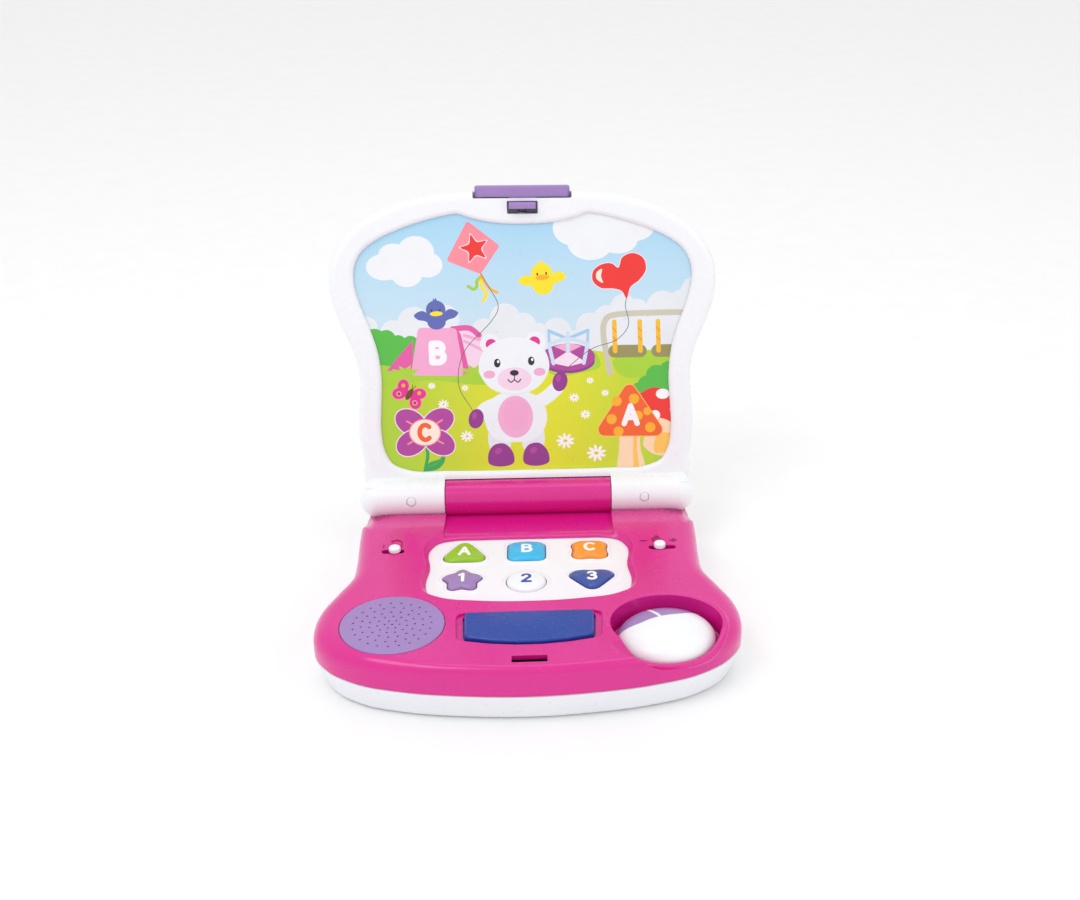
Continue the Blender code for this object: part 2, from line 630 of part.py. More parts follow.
# Inside ------------------------------------------------------------------------------------------

def speaker():
    place = (*GRILLE_CENTRE, 0)
    frame = [(13, 21.3), (22.6, 27.5), (25.0, 31.0), (25.0, 33.8), (23.4, 33.8), (21.4, 28.6), (12, 22.6)]
    finish(turned("speaker_frame", frame, 20, place=place), STEEL, 0.4, 1.0)
    cone = [(5, 23.2), (20.6, 29.2), (20.6, 29.8), (5, 23.9)]
    finish(turned("speaker_cone", cone, 20, place=place), (0.05, 0.05, 0.05), 0.8)
    finish(turned("speaker_magnet", [(14, 14.5), (14, 21.0)], 20, place=place), (0.08, 0.08, 0.08), 0.5)


def electronics():
    board = block("circuit_board", (-53, 53), (-26, 35), (22.6, 24.2))
    finish(board, (0.05, 0.25, 0.08), 0.5)
    chip = turned("sound_chip", [(3, 20.6), (6, 21.2), (7, 22.3)], 16, place=(30, -8, 0))
    finish(chip, (0.01, 0.01, 0.01))
    mat = block("key_dome_mat", (-51, 51), (-24, 34), (24.5, 25.6))
    for name, _, centre, _ in key_shapes():
        add(mat, turned(f"{name}_dome", [(6.5, 25.0), (4.6, 26.4)], 12, place=(*centre, 0)))
    finish(mat, (0.75, 0.75, 0.72), 0.6)
    bar_pad = block("bar_dome_mat", (-20, 20), (-66, -54), (24.4, 25.9))
    finish(bar_pad, (0.75, 0.75, 0.72), 0.6)
    finish(lead("speaker_lead", [(-60, -38, 21.2), (-54, -30, 19.5), (-46, -20, 19.6), (-42, -12, 21.5)], 0.8),
           (0.5, 0.02, 0.02))
    finish(lead("battery_lead", [(32, 26, 6), (36, 21, 10), (40, 14, 16), (42, 10, 21.4)], 0.8),
           (0.02, 0.02, 0.02))


# Lid ---------------------------------------------------------------------------------------------

def lid_rings(loop, ys, insets):
    """Rings of the upright lid outline at several depths."""
    rings = []
    for y, amount in zip(ys, insets):
        moved = inset(loop, amount)
        rings.append(np.column_stack([moved[:, 0], np.full(len(moved), y), moved[:, 1]]))
    return rings


def upright(name, loop, y0, y1, parent):
    part = loft(name, lid_rings(loop, (y0, y1), (0, 0)))
    part.parent = parent
    return part


def barrel(name, side):
    """A hinge barrel with a domed outer end."""
    straight = BARREL_END - BARREL_R
    profile = [(BARREL_R, BARREL_START), (BARREL_R, straight)]
    profile += [(BARREL_R * math.cos(a), straight + BARREL_R * math.sin(a)) for a in (0.45, 0.85, 1.2)]
    profile.append((1.5, BARREL_END))
    return turned(name, [(r, side * x) for r, x in profile], 24, "X")


def lid_front_bezel(hinge):
    loop = outline(LID_HALF, 14)
    depths = (LID_FACE, LID_FACE + 1.1, LID_FACE + 3.6, LID_SEAM, LID_SEAM, LID_FACE + 2.6)
    bezel = loft("lid_front_bezel", lid_rings(loop, depths, (4.0, 1.2, 0, 0, 2.2, 4.6)))
    bezel.parent = hinge
    add(bezel, block("bezel_foot", (-52, 52), (LID_FACE + 0.4, LID_SEAM), (4, 13.6)))
    for side in (-1, 1):
        add(bezel, barrel(f"barrel{side}", side))
    end = BARREL_START - 0.01
    cut(bezel, turned("knuckle_room", [(BARREL_R + 0.6, -end), (BARREL_R + 0.6, end)], 28, "X"))
    for side in (-1, 1):
        core = [(PIN_BORE_R, BARREL_START - 2), (PIN_BORE_R, 61), (7.8, 61), (7.8, 92), (4.5, 98)]
        cut(bezel, turned(f"barrel_core{side}", [(r, side * x) for r, x in core], 16, "X"))
        cut(bezel, turned(f"cap_seat{side}", [(3.3, -15), (3.3, -8.9)], 12, "Y",
                          (side * CAP_X, 0, CAP_Z)))
    window = lid_rings(outline(PICTURE_HALF, 13), (LID_FACE - 1, LID_FACE + 2.2, LID_FACE + 6), (-3.2, 0, 0))
    cut(bezel, loft("picture_window", window))
    add(bezel, block("spring_seat", (-4.5, 4.5), (2.9, 10.2), (169.9, 171.1)))
    for i, (x, z) in enumerate(LID_SCREWS):
        add(bezel, turned(f"lid_boss{i}", [(3.4, LID_FACE + 1.4), (3.4, 13.4)], 10, "Y", (x, 0, z)))
        cut(bezel, turned(f"lid_boss_hole{i}", [(1.5, 5), (1.5, 14)], 8, "Y", (x, 0, z)))
    cut(bezel, block("latch_notch", (-29.6, 29.6), (3.2, 12), (182.6, 195)))
    cut(bezel, block("latch_notch_front", (-29.6, 29.6), (-2, 4), (184.2, 195)))
    cut(bezel, block("hook_window", (-9.2, 9.2), (-2, 6), (173.6, 181.4)))
    return finish(bezel, WHITE, 0.25)


def lid_rear_shell(hinge):
    loop = outline(LID_HALF, 14)
    seam = LID_SEAM + GAP
    depths = (LID_BACK, LID_BACK - 1.4, LID_BACK - 4.6, seam, seam, LID_BACK - 2.2)
    shell = loft("lid_rear_shell", lid_rings(loop, depths, (5.2, 1.6, 0, 0, 2.2, 5.4)))
    shell.parent = hinge
    add(shell, block("rear_foot", (-97, 97), (seam, 14), (4.2, 13.4)))
    cut(shell, turned("barrel_room", [(BARREL_R + 0.5, -130), (BARREL_R + 0.5, 130)], 28, "X"))
    cut(shell, block("latch_notch_rear", (-29.6, 29.6), (6, 14.9), (181.0, 195)))
    for i, (x, z) in enumerate(LID_SCREWS):
        add(shell, turned(f"rear_boss{i}", [(4.6, 13.7), (4.6, LID_BACK - 0.6)], 12, "Y", (x, 0, z)))
        cut(shell, turned(f"rear_head_hole{i}", [(3.3, 15.2), (3.3, 25)], 12, "Y", (x, 0, z)))
        cut(shell, turned(f"rear_screw_way{i}", [(1.7, 10), (1.7, 20)], 8, "Y", (x, 0, z)))
    return finish(shell, WHITE, 0.25)


def lid_small_parts(hinge):
    picture = inset(outline(PICTURE_HALF, 13), -1.8)
    panel = upright("picture_panel", picture, LID_FACE + PICTURE_DEPTH, LID_FACE + PICTURE_DEPTH + 1.2, hinge)
    finish(panel, (0.45, 0.75, 0.95), 0.25)
    for i, (x, z) in enumerate(LID_SCREWS):
        screw(f"lid_screw_{i + 1}", (x, LID_BACK - 0.5, z), head=(2.8, 1.8), shank=(1.2, 8.0), axis="Y", parent=hinge)
    for side, name in ((-1, "left"), (1, "right")):
        profile = [(2.6, -10.3), (3.0, -10.0), (3.0, -9.2)]
        cap = turned(f"hinge_cap_{name}", profile, 16, "Y", (side * CAP_X, 0, CAP_Z))
        cap.parent = hinge
        finish(cap, WHITE, 0.3)


def latch(hinge):
    """The press bar on the lid's top edge, with its stem and the hook that catches under the deck."""
    guide = empty("latch_guide", (0, 0, 182.0), hinge)
    bar = block("latch", (-28.6, 28.6), (4.0, 14.2), (1.6, 8.4))
    bar.parent = guide
    add(bar, block("latch_stem", (-8.0, 8.0), (4.0, 7.4), (-5.4, 3.0)))
    add(bar, block("hook_arm", (-8.0, 8.0), (-4.5, 6.0), (-5.0, -3.0)))
    add(bar, block("hook_lip", (-8.0, 8.0), (-4.5, -2.9), (-4.0, -1.1)))
    finish(bar, PURPLE, 0.3)
    spring = helix("latch_spring", 2.6, 0.3, 171.7, 176.0, 3, (0, 6.9, 0))
    spring.parent = hinge
    finish(spring, STEEL, 0.3, 1.0)


def hinge_pins():
    for side, name in ((-1, "left"), (1, "right")):
        pin = turned(f"hinge_pin_{name}", [(PIN_R, side * 42.0), (PIN_R, side * 60.5)], 12, "X",
                     (0, HINGE_Y, HINGE_Z))
        finish(pin, STEEL, 0.3, 1.0)


# Assembly ----------------------------------------------------------------------------------------

def main():
    for old in list(bpy.data.objects):
        bpy.data.objects.remove(old)
    base_bottom_shell()
    base_top_shell()
    battery_door()
    batteries()
    base_screws()
    keypad_panel()
    keys()
    bar_button()
    mouse()
    mouse_works()
    slide_knob("power_knob", POWER_KNOB)
    slide_knob("volume_knob", VOLUME_KNOB)
    slide_switch("power_switch", POWER_SLOT, POWER_KNOB[1])
    slide_switch("volume_switch", VOLUME_SLOT, VOLUME_KNOB[1])
    grille()
    speaker()
    electronics()
    hinge_pins()
    hinge = empty("lid_hinge", (0, HINGE_Y, HINGE_Z), lean=-LEAN_BACK)
    lid_front_bezel(hinge)
    lid_rear_shell(hinge)
    lid_small_parts(hinge)
    latch(hinge)


main()
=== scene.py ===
"""The looks of the toy laptop computer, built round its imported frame.

Sizes are in millimetres in the part's own frame, unless a name says otherwise. Pieces of the lid are
given upright, with z measured from the hinge axis and y towards the lid's back, and are then leaned.
"""

import math

import bmesh
import bpy
import numpy as np
from mathutils import Matrix, Vector, geometry


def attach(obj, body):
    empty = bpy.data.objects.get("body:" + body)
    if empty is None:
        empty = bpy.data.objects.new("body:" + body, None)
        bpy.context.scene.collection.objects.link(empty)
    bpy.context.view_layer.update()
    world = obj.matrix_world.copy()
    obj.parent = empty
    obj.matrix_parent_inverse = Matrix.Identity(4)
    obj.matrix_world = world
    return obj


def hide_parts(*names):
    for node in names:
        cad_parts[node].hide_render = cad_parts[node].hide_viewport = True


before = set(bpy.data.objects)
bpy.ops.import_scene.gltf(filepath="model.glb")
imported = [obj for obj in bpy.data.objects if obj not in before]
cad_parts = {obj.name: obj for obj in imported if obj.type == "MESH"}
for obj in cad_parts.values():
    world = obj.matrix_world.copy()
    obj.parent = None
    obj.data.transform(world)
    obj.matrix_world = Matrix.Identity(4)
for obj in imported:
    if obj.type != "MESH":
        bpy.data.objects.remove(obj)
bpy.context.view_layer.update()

MM = 0.001

# Driving dimensions, as in the frame
DECK_Z, SEAM_Z = 36.0, 18.5
HINGE_Y, HINGE_Z, LEAN_BACK = 86.0, 36.0, 15.0
BARREL_R, BARREL_START, BARREL_END = 11.0, 51.2, 103.5
LID_FACE, LID_SEAM, LID_BACK, LID_FOOT = 0.8, 8.0, 17.8, 3.0
PICTURE_Y = LID_FACE + 3.0
PANEL_TOP = DECK_Z - 3.8
KEY_TOP = DECK_Z - 0.5
WALL, GAP = 2.4, 0.3
BAY_CENTRE, BAY_RX, BAY_RY, BAY_FLOOR, BAY_DIP = (74.0, -59.4), 30.5, 26.6, 17.0, 8.6
MOUSE_CENTRE, MOUSE_RX, MOUSE_RY = (74.3, -60.6), 26.8, 24.6
MOUSE_TOP, MOUSE_HEIGHT = DECK_Z + 1.0, 11.0
SLOPE = [(47.3, DECK_Z + 0.4), (79.5, DECK_Z - 6.4)]
GRILLE_CENTRE, GRILLE_R = (-73.4, -55.4), 28.0
POWER_KNOB, POWER_SLOT = (-77.7, 22.2), (-85.2, -72.2)
VOLUME_KNOB, VOLUME_SLOT = (76.6, 20.0), (70.0, 86.0)
BAR_CENTRE = (0.0, -60.0)
BASE_SCREWS = [(side * x, y) for side in (-1, 1) for x, y in ((89.0, 51.0), (104.0, -32.0), (28.0, -85.5))]
LID_SCREWS = [(side * x, z) for side in (-1, 1) for x, z in ((94.7, 44.0), (62.0, 174.9))]
DOOR_SCREW = (0.0, 14.6)
BAY_RIM = 1.9
SCOOP_INNER, SCOOP_FLAT, SCOOP_REACH = -14, 4.5, 12.5
FLANGE_REACH, FLANGE_LOW = 13.4, 20.5
SLOPE_DROPS = ((82, 0), (87, 0.25), (91, 1.0), (94.4, 2.3), (97.2, 4.3), (99.4, 7.2), (101.2, 11.5),
               (130, 14))
GRILLE_RINGS = ((4.0, 6), (8.0, 11), (12.2, 15), (16.6, 19), (21.0, 23))
WALL_TOP = 24.0
KNOB_SLOT_R = 2.2
CAP_X, CAP_Z = 71.5, 0.4
WELD = 2e-6
KEYS = {
    "key_a": (-37.5, 23.0),
    "key_b": (-1.4, 23.4),
    "key_c": (35.5, 23.4),
    "key_1": (-37.8, -7.6),
    "key_2": (-1.6, -10.0),
    "key_3": (35.7, -9.2),
}

# Half outlines, right side, from the middle of the back to the middle of the front
BASE_HALF = [(0, 100.5), (62, 100.5), (86, 98.8), (95.6, 92.4), (99.6, 81), (100.6, 64), (100.5, 42),
             (99.9, 21), (100.9, 2), (109, -17.6), (115, -33.4), (116.7, -45.5), (115, -59.2), (107, -72.4),
             (91.4, -84.4), (66, -93.2), (34, -98.4), (0, -100.5)]
LID_HALF = [(0, 188), (30, 187.2), (58, 184.6), (76, 180.2), (88, 175.2), (97.4, 169.6), (105.4, 162.4),
            (111.6, 154), (115.8, 144.6), (117.2, 134), (115.6, 121), (110.6, 106.5), (104.6, 92),
            (101.6, 79), (101.8, 64), (103.1, 47), (102.4, 34), (100.6, 23), (101, 13.5), (97.4, 6.2),
            (89, LID_FOOT), (50, LID_FOOT), (0, LID_FOOT)]
PICTURE_HALF = [(0, 167.6), (20, 168.8), (34, 172.2), (39, 174), (44, 173.4), (60, 169.7), (76, 164.3),
                (88, 158.6), (96.6, 152), (101.2, 143.4), (102, 134), (99.4, 121.6), (94, 106.6),
                (89.4, 91), (87.7, 74), (88.5, 58), (89.1, 42), (87.4, 29.6), (83, 21.6), (74, 17.6),
                (50, 16.5), (0, 16.2)]
KEYPAD_HALF = [(0, 38.5), (30, 38.4), (44, 38.1), (52.8, 35), (56.9, 28), (56.2, 6), (57.6, -12),
               (56, -19.8), (48.5, -25.4), (28, -29.8), (0, -31.4)]

LID = Matrix.Translation(Vector((0, HINGE_Y, HINGE_Z)) * MM) @ Matrix.Rotation(
    math.radians(-LEAN_BACK), 4, "X")


# Colours -----------------------------------------------------------------------------------------

def linear(r, g, b):
    """sRGB from 0 to 255, as linear light."""
    return tuple(((c / 255 + 0.055) / 1.055) ** 2.4 if c > 10 else c / 3295 for c in (r, g, b))


# Materials ---------------------------------------------------------------------------------------

def node(tree, kind, **inputs):
    made = tree.nodes.new("ShaderNode" + kind)
    for name, value in inputs.items():
        made.inputs[name.replace("_", " ")].default_value = value
    return made


def moulded(name, colour, gloss=0.3, variation=0.04, grain=0.02, coat=0.0, scatter=0.0):
    """Moulded plastic: a faint drift of colour and gloss, and a fine surface grain."""
    material = bpy.data.materials.new(name)
    material.use_nodes = True
    tree = material.node_tree
    shader = tree.nodes["Principled BSDF"]
    place = tree.nodes.new("ShaderNodeTexCoord")

    def noise(scale, detail):
        made = node(tree, "TexNoise", Scale=scale, Detail=detail)
        tree.links.new(place.outputs["Object"], made.inputs["Vector"])
        return made.outputs["Fac"]

    def blend(factor, low, high):
        ramp = tree.nodes.new("ShaderNodeValToRGB")
        ramp.color_ramp.elements[0].position = 0.3
        ramp.color_ramp.elements[1].position = 0.7
        ramp.color_ramp.elements[0].color = low
        ramp.color_ramp.elements[1].color = high
        tree.links.new(factor, ramp.inputs["Fac"])
        return ramp.outputs["Color"]

    darker = (*[c * (1 - variation) for c in colour], 1)
    lighter = (*[min(1, c * (1 + variation)) for c in colour], 1)
    tree.links.new(blend(noise(38, 3), darker, lighter), shader.inputs["Base Color"])
    dull, shiny = (gloss + 0.03,) * 3 + (1,), (gloss - 0.03,) * 3 + (1,)
    tree.links.new(blend(noise(120, 4), shiny, dull), shader.inputs["Roughness"])
    bump = node(tree, "Bump", Strength=grain, Distance=0.0002)
    tree.links.new(noise(1600, 2), bump.inputs["Height"])
    tree.links.new(bump.outputs["Normal"], shader.inputs["Normal"])
    shader.inputs["Coat Weight"].default_value = coat
    shader.inputs["Coat Roughness"].default_value = 0.12
    if scatter:
        shader.inputs["Subsurface Weight"].default_value = scatter
        shader.inputs["Subsurface Scale"].default_value = 0.002
        shader.inputs["Subsurface Radius"].default_value = (1.0, 0.6, 0.6)
    return material


def steel(name):
    material = moulded(name, (0.55, 0.55, 0.57), 0.3, 0.1, 0.05)
    material.node_tree.nodes["Principled BSDF"].inputs["Metallic"].default_value = 1.0
    return material


PINK = moulded("pink_plastic", linear(217, 22, 140), 0.25, 0.015, 0.01, coat=0.2)
# Painted shade: this darker pink stands for the shade along the small raised marks beside the knobs, which
# are the shell's own pink.
MARK_PINK_PAINTED_SHADE = moulded("mark_pink_painted_shade", linear(160, 4, 98), 0.3, 0.02, 0.02)
WHITE = moulded("white_plastic", linear(241, 243, 246), 0.28, 0.006, 0.006, coat=0.1)
COOL_WHITE = moulded("base_white", linear(236, 238, 243), 0.3, 0.008, 0.015, coat=0.15)
KEYPAD_WHITE = moulded("keypad_white", linear(243, 240, 245), 0.36, 0.01, 0.02)
PURPLE = moulded("purple_plastic", linear(158, 126, 188), 0.33, 0.03, 0.03)
GREEN = moulded("green_plastic", linear(146, 192, 10), 0.22, 0.02, 0.01, coat=0.3)
BLUE = moulded("light_blue_plastic", linear(44, 184, 232), 0.22, 0.02, 0.01, coat=0.3)
ORANGE = moulded("orange_plastic", linear(250, 150, 34), 0.22, 0.03, 0.02, coat=0.4)
STAR_PURPLE = moulded("star_purple", linear(154, 122, 180), 0.22, 0.03, 0.02, coat=0.4)
DARK_BLUE = moulded("dark_blue_plastic", linear(40, 72, 160), 0.24, 0.03, 0.02, coat=0.4)
BAR_BLUE = moulded("bar_blue_plastic", linear(6, 58, 154), 0.28, 0.02, 0.01, coat=0.15)
BLACK = moulded("black_plastic", (0.012, 0.012, 0.014), 0.5, 0.1, 0.05)
HOLE = moulded("hole_shadow", (0.02, 0.012, 0.03), 0.8, 0.1, 0.05)
INK_WHITE = moulded("white_ink", linear(246, 246, 248), 0.34, 0.01, 0.04)
INK_BLUE = moulded("blue_ink", linear(44, 78, 165), 0.34, 0.03, 0.04)
STEEL = steel("plated_steel")


# Plane curves ------------------------------------------------------------------------------------

def mirrored(half):
    """The whole outline, counter-clockwise, from its right half given from back to front."""
    left = [(-x, y) for x, y in half[1:-1]]
    return left + half[::-1]


def smooth_loop(points, spacing):
    """A closed smooth curve through the points, as points about one spacing apart."""
    p = np.array(points, float)
    before, after = np.roll(p, 1, 0), np.roll(p, -1, 0)
    d_in = np.linalg.norm(p - before, axis=1)[:, None]
    d_out = np.linalg.norm(after - p, axis=1)[:, None]
    slope = ((p - before) / d_in * d_out + (after - p) / d_out * d_in) / (d_in + d_out)
    loop = []
    for i in range(len(p)):
        j = (i + 1) % len(p)
        span = d_out[i, 0]
        for t in np.arange(0, 1, 1 / max(1, round(span / spacing))):
            a, b = 2 * t**3 - 3 * t**2 + 1, t**3 - 2 * t**2 + t
            c, d = 3 * t**2 - 2 * t**3, t**3 - t**2
            loop.append(a * p[i] + b * span * slope[i] + c * p[j] + d * span * slope[j])
    return np.array(loop)


def smooth_line(points, steps=8):
    """Points along one smooth open curve through the given points."""
    p = np.array(points, float)
    padded = np.vstack([2 * p[0] - p[1], p, 2 * p[-1] - p[-2]])
    route = []
    for i in range(len(p) - 1):
        a, b, c, d = padded[i : i + 4]
        for t in np.arange(steps) / steps:
            route.append(0.5 * (2 * b + (c - a) * t + (2 * a - 5 * b + 4 * c - d) * t**2
                                + (3 * b - a - 3 * c + d) * t**3))
    return np.array(route + [p[-1]])


def outline(half, spacing=2.5):
    return smooth_loop(mirrored(half), spacing)


def inset(loop, distance):
    """The counter-clockwise loop moved inwards by a distance, one number or one for each point."""
    ahead = np.roll(loop, -1, 0) - np.roll(loop, 1, 0)
    inward = np.stack([-ahead[:, 1], ahead[:, 0]], 1) / np.linalg.norm(ahead, axis=1)[:, None]
    return loop + inward * np.broadcast_to(distance, len(loop))[:, None]


def ellipse(rx, ry, sides=48, centre=(0, 0), turn=0.0):
    angles = (np.arange(sides) + 0.5) * 2 * math.pi / sides
    loop = np.stack([rx * np.cos(angles), ry * np.sin(angles)], 1)
    return turned_by(loop, turn) + centre


def turned_by(loop, degrees, scale=1.0):
    c, s = math.cos(math.radians(degrees)) * scale, math.sin(math.radians(degrees)) * scale
    return np.asarray(loop, float) @ np.array([[c, s], [-s, c]])


def rounded(corners, radius, arc=8):
    """A counter-clockwise convex outline whose corners are arcs centred on the given points."""
    loop = []
    for i, (x, y) in enumerate(corners):
        ahead = np.subtract(corners[(i + 1) % len(corners)], (x, y))
        behind = np.subtract((x, y), corners[i - 1])
        start = math.atan2(-behind[0], behind[1])
        turn = (math.atan2(-ahead[0], ahead[1]) - start) % (2 * math.pi)
        steps = round(arc * turn / (math.pi / 2))
        for t in np.linspace(0, 1, steps + 1) if steps else (0.5,):
            a = start + turn * t
            loop.append((x + radius * math.cos(a), y + radius * math.sin(a)))
    return np.array(loop)


def counter_clockwise(loop):
    p = np.asarray(loop, float)
    x, y = p[:, 0], p[:, 1]
    return p if np.sum(x * np.roll(y, -1) - np.roll(x, -1) * y) > 0 else p[::-1]


def resampled(loop, count):
    """The closed loop as a number of evenly spaced points."""
    closed = np.vstack([loop, loop[:1]])
    along = np.concatenate([[0], np.cumsum(np.linalg.norm(np.diff(closed, axis=0), axis=1))])
    wanted = np.linspace(0, along[-1], count, endpoint=False)
    return np.column_stack([np.interp(wanted, along, closed[:, k]) for k in (0, 1)])


def lobed(radius, wave, lobes, first, sides=96):
    """A closed curve whose radius swells a number of times, first at the angle first in degrees."""
    angles = np.arange(sides) * 2 * math.pi / sides
    r = radius + wave * np.cos(lobes * (angles - math.radians(first)))
    return np.stack([r * np.cos(angles), r * np.sin(angles)], 1)


def grown(loop, distance):
    """The loop about its own origin with each point moved out along its radius."""
    return loop * (1 + distance / np.linalg.norm(loop, axis=1)[:, None])


def smoothstep(value, low, high):
    t = np.clip((value - low) / (high - low), 0, 1)
    return t * t * (3 - 2 * t)


# Solids ------------------------------------------------------------------------------------------

def at_height(loop, z):
    return np.column_stack([loop, np.broadcast_to(z, len(loop))])


def upright(loop, y):
    """A plane loop as points standing in the lid's own frame."""
    return np.column_stack([loop[:, 0], np.broadcast_to(y, len(loop)), loop[:, 1]])


def as_object(name, bm, materials, angle=35.0):
    mesh = bpy.data.meshes.new(name)
    bm.to_mesh(mesh)
    bm.free()
    mesh.shade_smooth()
    mesh.set_sharp_from_angle(angle=math.radians(angle))
    for material in materials:
        mesh.materials.append(material)
    part = bpy.data.objects.new(name, mesh)
    bpy.context.scene.collection.objects.link(part)
    return part


def loft(name, rings, material=None, place=(0, 0, 0), angle=35.0):
    """A closed solid through rings of equal length, with a flat cap on the first and the last."""
    bm = bmesh.new()
    rows = [[bm.verts.new((Vector(p) + Vector(place)) * MM) for p in ring] for ring in rings]
    for low, high in zip(rows, rows[1:]):
        for i in range(len(low)):
            j = (i + 1) % len(low)
            bm.faces.new((low[i], low[j], high[j], high[i]))
    bm.faces.new(rows[0][::-1])
    bm.faces.new(rows[-1])
    bmesh.ops.recalc_face_normals(bm, faces=bm.faces)
    return as_object(name, bm, [material] if material else [], angle)


def sweep(bm, rings, closed=True, material=0):
    """Adds faces between successive rings, and back to the first where the section is closed."""
    rows = [[bm.verts.new(Vector(p) * MM) for p in ring] for ring in rings]
    pairs = list(zip(rows, rows[1:] + rows[:1])) if closed else list(zip(rows, rows[1:]))
    for low, high in pairs:
        for i in range(len(low)):
            j = (i + 1) % len(low)
            face = bm.faces.new((low[i], low[j], high[j], high[i]))
            face.material_index = material
            face.smooth = True
    return rows


def prism(name, loop, z0, z1, material=None, place=(0, 0, 0)):
    return loft(name, [at_height(loop, z0), at_height(loop, z1)], material, place)


def block(name, x, y, z, material=None):
    return prism(name, np.array([(x[0], y[0]), (x[1], y[0]), (x[1], y[1]), (x[0], y[1])], float), *z,
                 material)


def turned(name, profile, sides=64, axis="Z", place=(0, 0, 0), material=None):
    """A turned solid from (radius, distance along the axis) pairs."""
    rings = []
    for r, h in profile:
        c = ellipse(r, r, sides)
        if axis == "X":
            rings.append(np.column_stack([np.full(sides, h), c]))
        elif axis == "Y":
            rings.append(np.column_stack([c[:, 0], np.full(sides, h), c[:, 1]]))
        else:
            rings.append(at_height(c, h))
    return loft(name, rings, material, place)


def rounded_box(half_width, low, high, radius, arc=8):
    """A rounded outline that is symmetric in x, and whose arcs are centred on the given corners."""
    return rounded([(-half_width, low), (half_width, low), (half_width, high), (-half_width, high)], radius,
                   arc)


def rolled(loop, width, rise, top, steps, start=0.0):
    """Rings of a rounded edge, which goes in by its width while it climbs its rise to the top."""
    rings = []
    for i in range(steps + 1):
        a = math.pi / 2 * i / steps
        ring = inset(loop, start + width * (1 - math.cos(a)))
        rings.append(at_height(ring, top - rise * (1 - math.sin(a))))
    return rings


def arc_profile(radius, height, fillet, steps=6):
    """(radius, height) pairs of an edge rounded by a fillet, from the side up to the top."""
    pairs = []
    for i in range(steps + 1):
        a = math.pi / 2 * i / steps
        pairs.append((radius - fillet * (1 - math.cos(a)), height - fillet * (1 - math.sin(a))))
    return pairs


def combine(part, operation, *others):
    """Joins helper solids to the part, or cuts them from it, and removes them."""
    for other in others:
        modifier = part.modifiers.new(operation.lower(), "BOOLEAN")
        modifier.operation = operation
        modifier.object = other
        modifier.solver = "MANIFOLD"
        settle(part)
        bpy.data.objects.remove(other)
    return part


def settle(part):
    """Replaces the part's mesh by what its modifiers make of it."""
    bpy.context.view_layer.update()
    graph = bpy.context.evaluated_depsgraph_get()
    mesh = bpy.data.meshes.new_from_object(part.evaluated_get(graph), depsgraph=graph)
    part.modifiers.clear()
    part.data = mesh


def open_mesh(part):
    bm = bmesh.new()
    bm.from_mesh(part.data)
    return bm


def close_mesh(part, bm):
    bm.to_mesh(part.data)
    bm.free()


def shade(part, angle=50):
    """Smooth faces, with the edges sharper than the angle kept sharp."""
    part.data.shade_smooth()
    part.data.set_sharp_from_angle(angle=math.radians(angle))


def keep_flat(part):
    """Lets the flat faces rule the shading of the rounded edges beside them."""
    weighted = part.modifiers.new("flat faces stay flat", "WEIGHTED_NORMAL")
    weighted.keep_sharp = True
    settle(part)


def finish_shell(shell):
    """Marks the edges that the cuts have left as sharp, and keeps the flat faces flat."""
    shell.data.set_sharp_from_angle(angle=math.radians(50))
    keep_flat(shell)


def cut(part, *others):
    return combine(part, "DIFFERENCE", *others)


def add(part, *others):
    return combine(part, "UNION", *others)


def intersect(part, *others):
    return combine(part, "INTERSECT", *others)


def soften(part, width, angle=38.0, segments=3):
    """Rounds the part's sharp edges a little, as a mould does."""
    part.data.shade_smooth()
    bevel = part.modifiers.new("soft edges", "BEVEL")
    bevel.width = width * MM
    bevel.segments = segments
    bevel.limit_method = "ANGLE"
    bevel.angle_limit = math.radians(angle)
    bevel.use_clamp_overlap = True
    bevel.miter_outer = "MITER_ARC"
    keep_flat(part)
    return part


def mount(part, body, *nodes, lid=False):
    """Puts the piece on its body, in place of the nodes it stands for."""
    if lid:
        part.data.transform(LID)
    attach(part, body)
    if nodes:
        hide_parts(*nodes)
    return part


# Printed surfaces ---------------------------------------------------------------------------------

def printed(name, base, regions, materials, spot, grid=0.0, angle=60.0):
    """A thin sheet over the base loop, divided by the regions, a list of (loop, material number) from
    the lowest layer to the highest. spot turns (x, y) into a point; grid adds points for a curved sheet."""
    loops = [counter_clockwise(loop) for loop in [base] + [loop for loop, _ in regions]]
    points, faces = [], []
    for loop in loops:
        faces.append(list(range(len(points), len(points) + len(loop))))
        points.extend(Vector(p) for p in loop)
    if grid:
        low, high = loops[0].min(0), loops[0].max(0)
        for x in np.arange(low[0] + grid, high[0], grid):
            for y in np.arange(low[1] + grid, high[1], grid):
                points.append(Vector((x, y)))
    made = geometry.delaunay_2d_cdt(points, [], faces, 1, 1e-4, True)
    bm = bmesh.new()
    corners = [bm.verts.new(Vector(spot(x, y)) * MM) for x, y in made[0]]
    for corner_ids, sources in zip(made[2], made[5]):
        if 0 not in sources:
            continue
        try:
            face = bm.faces.new([corners[i] for i in corner_ids])
        except ValueError:
            continue
        top = max(sources)
        face.material_index = regions[top - 1][1] if top else 0
    loose = [v for v in bm.verts if not v.link_faces]
    bmesh.ops.delete(bm, geom=loose, context="VERTS")
    return as_object(name, bm, materials, angle)


def pierced(sheet, thickness):
    """Opens the regions with material number 1 and thickens the sheet downwards."""
    bm = open_mesh(sheet)
    holes = [face for face in bm.faces if face.material_index == 1]
    bmesh.ops.delete(bm, geom=holes, context="FACES")
    close_mesh(sheet, bm)
    solid = sheet.modifiers.new("thickness", "SOLIDIFY")
    solid.thickness, solid.offset = thickness * MM, -1
    settle(sheet)


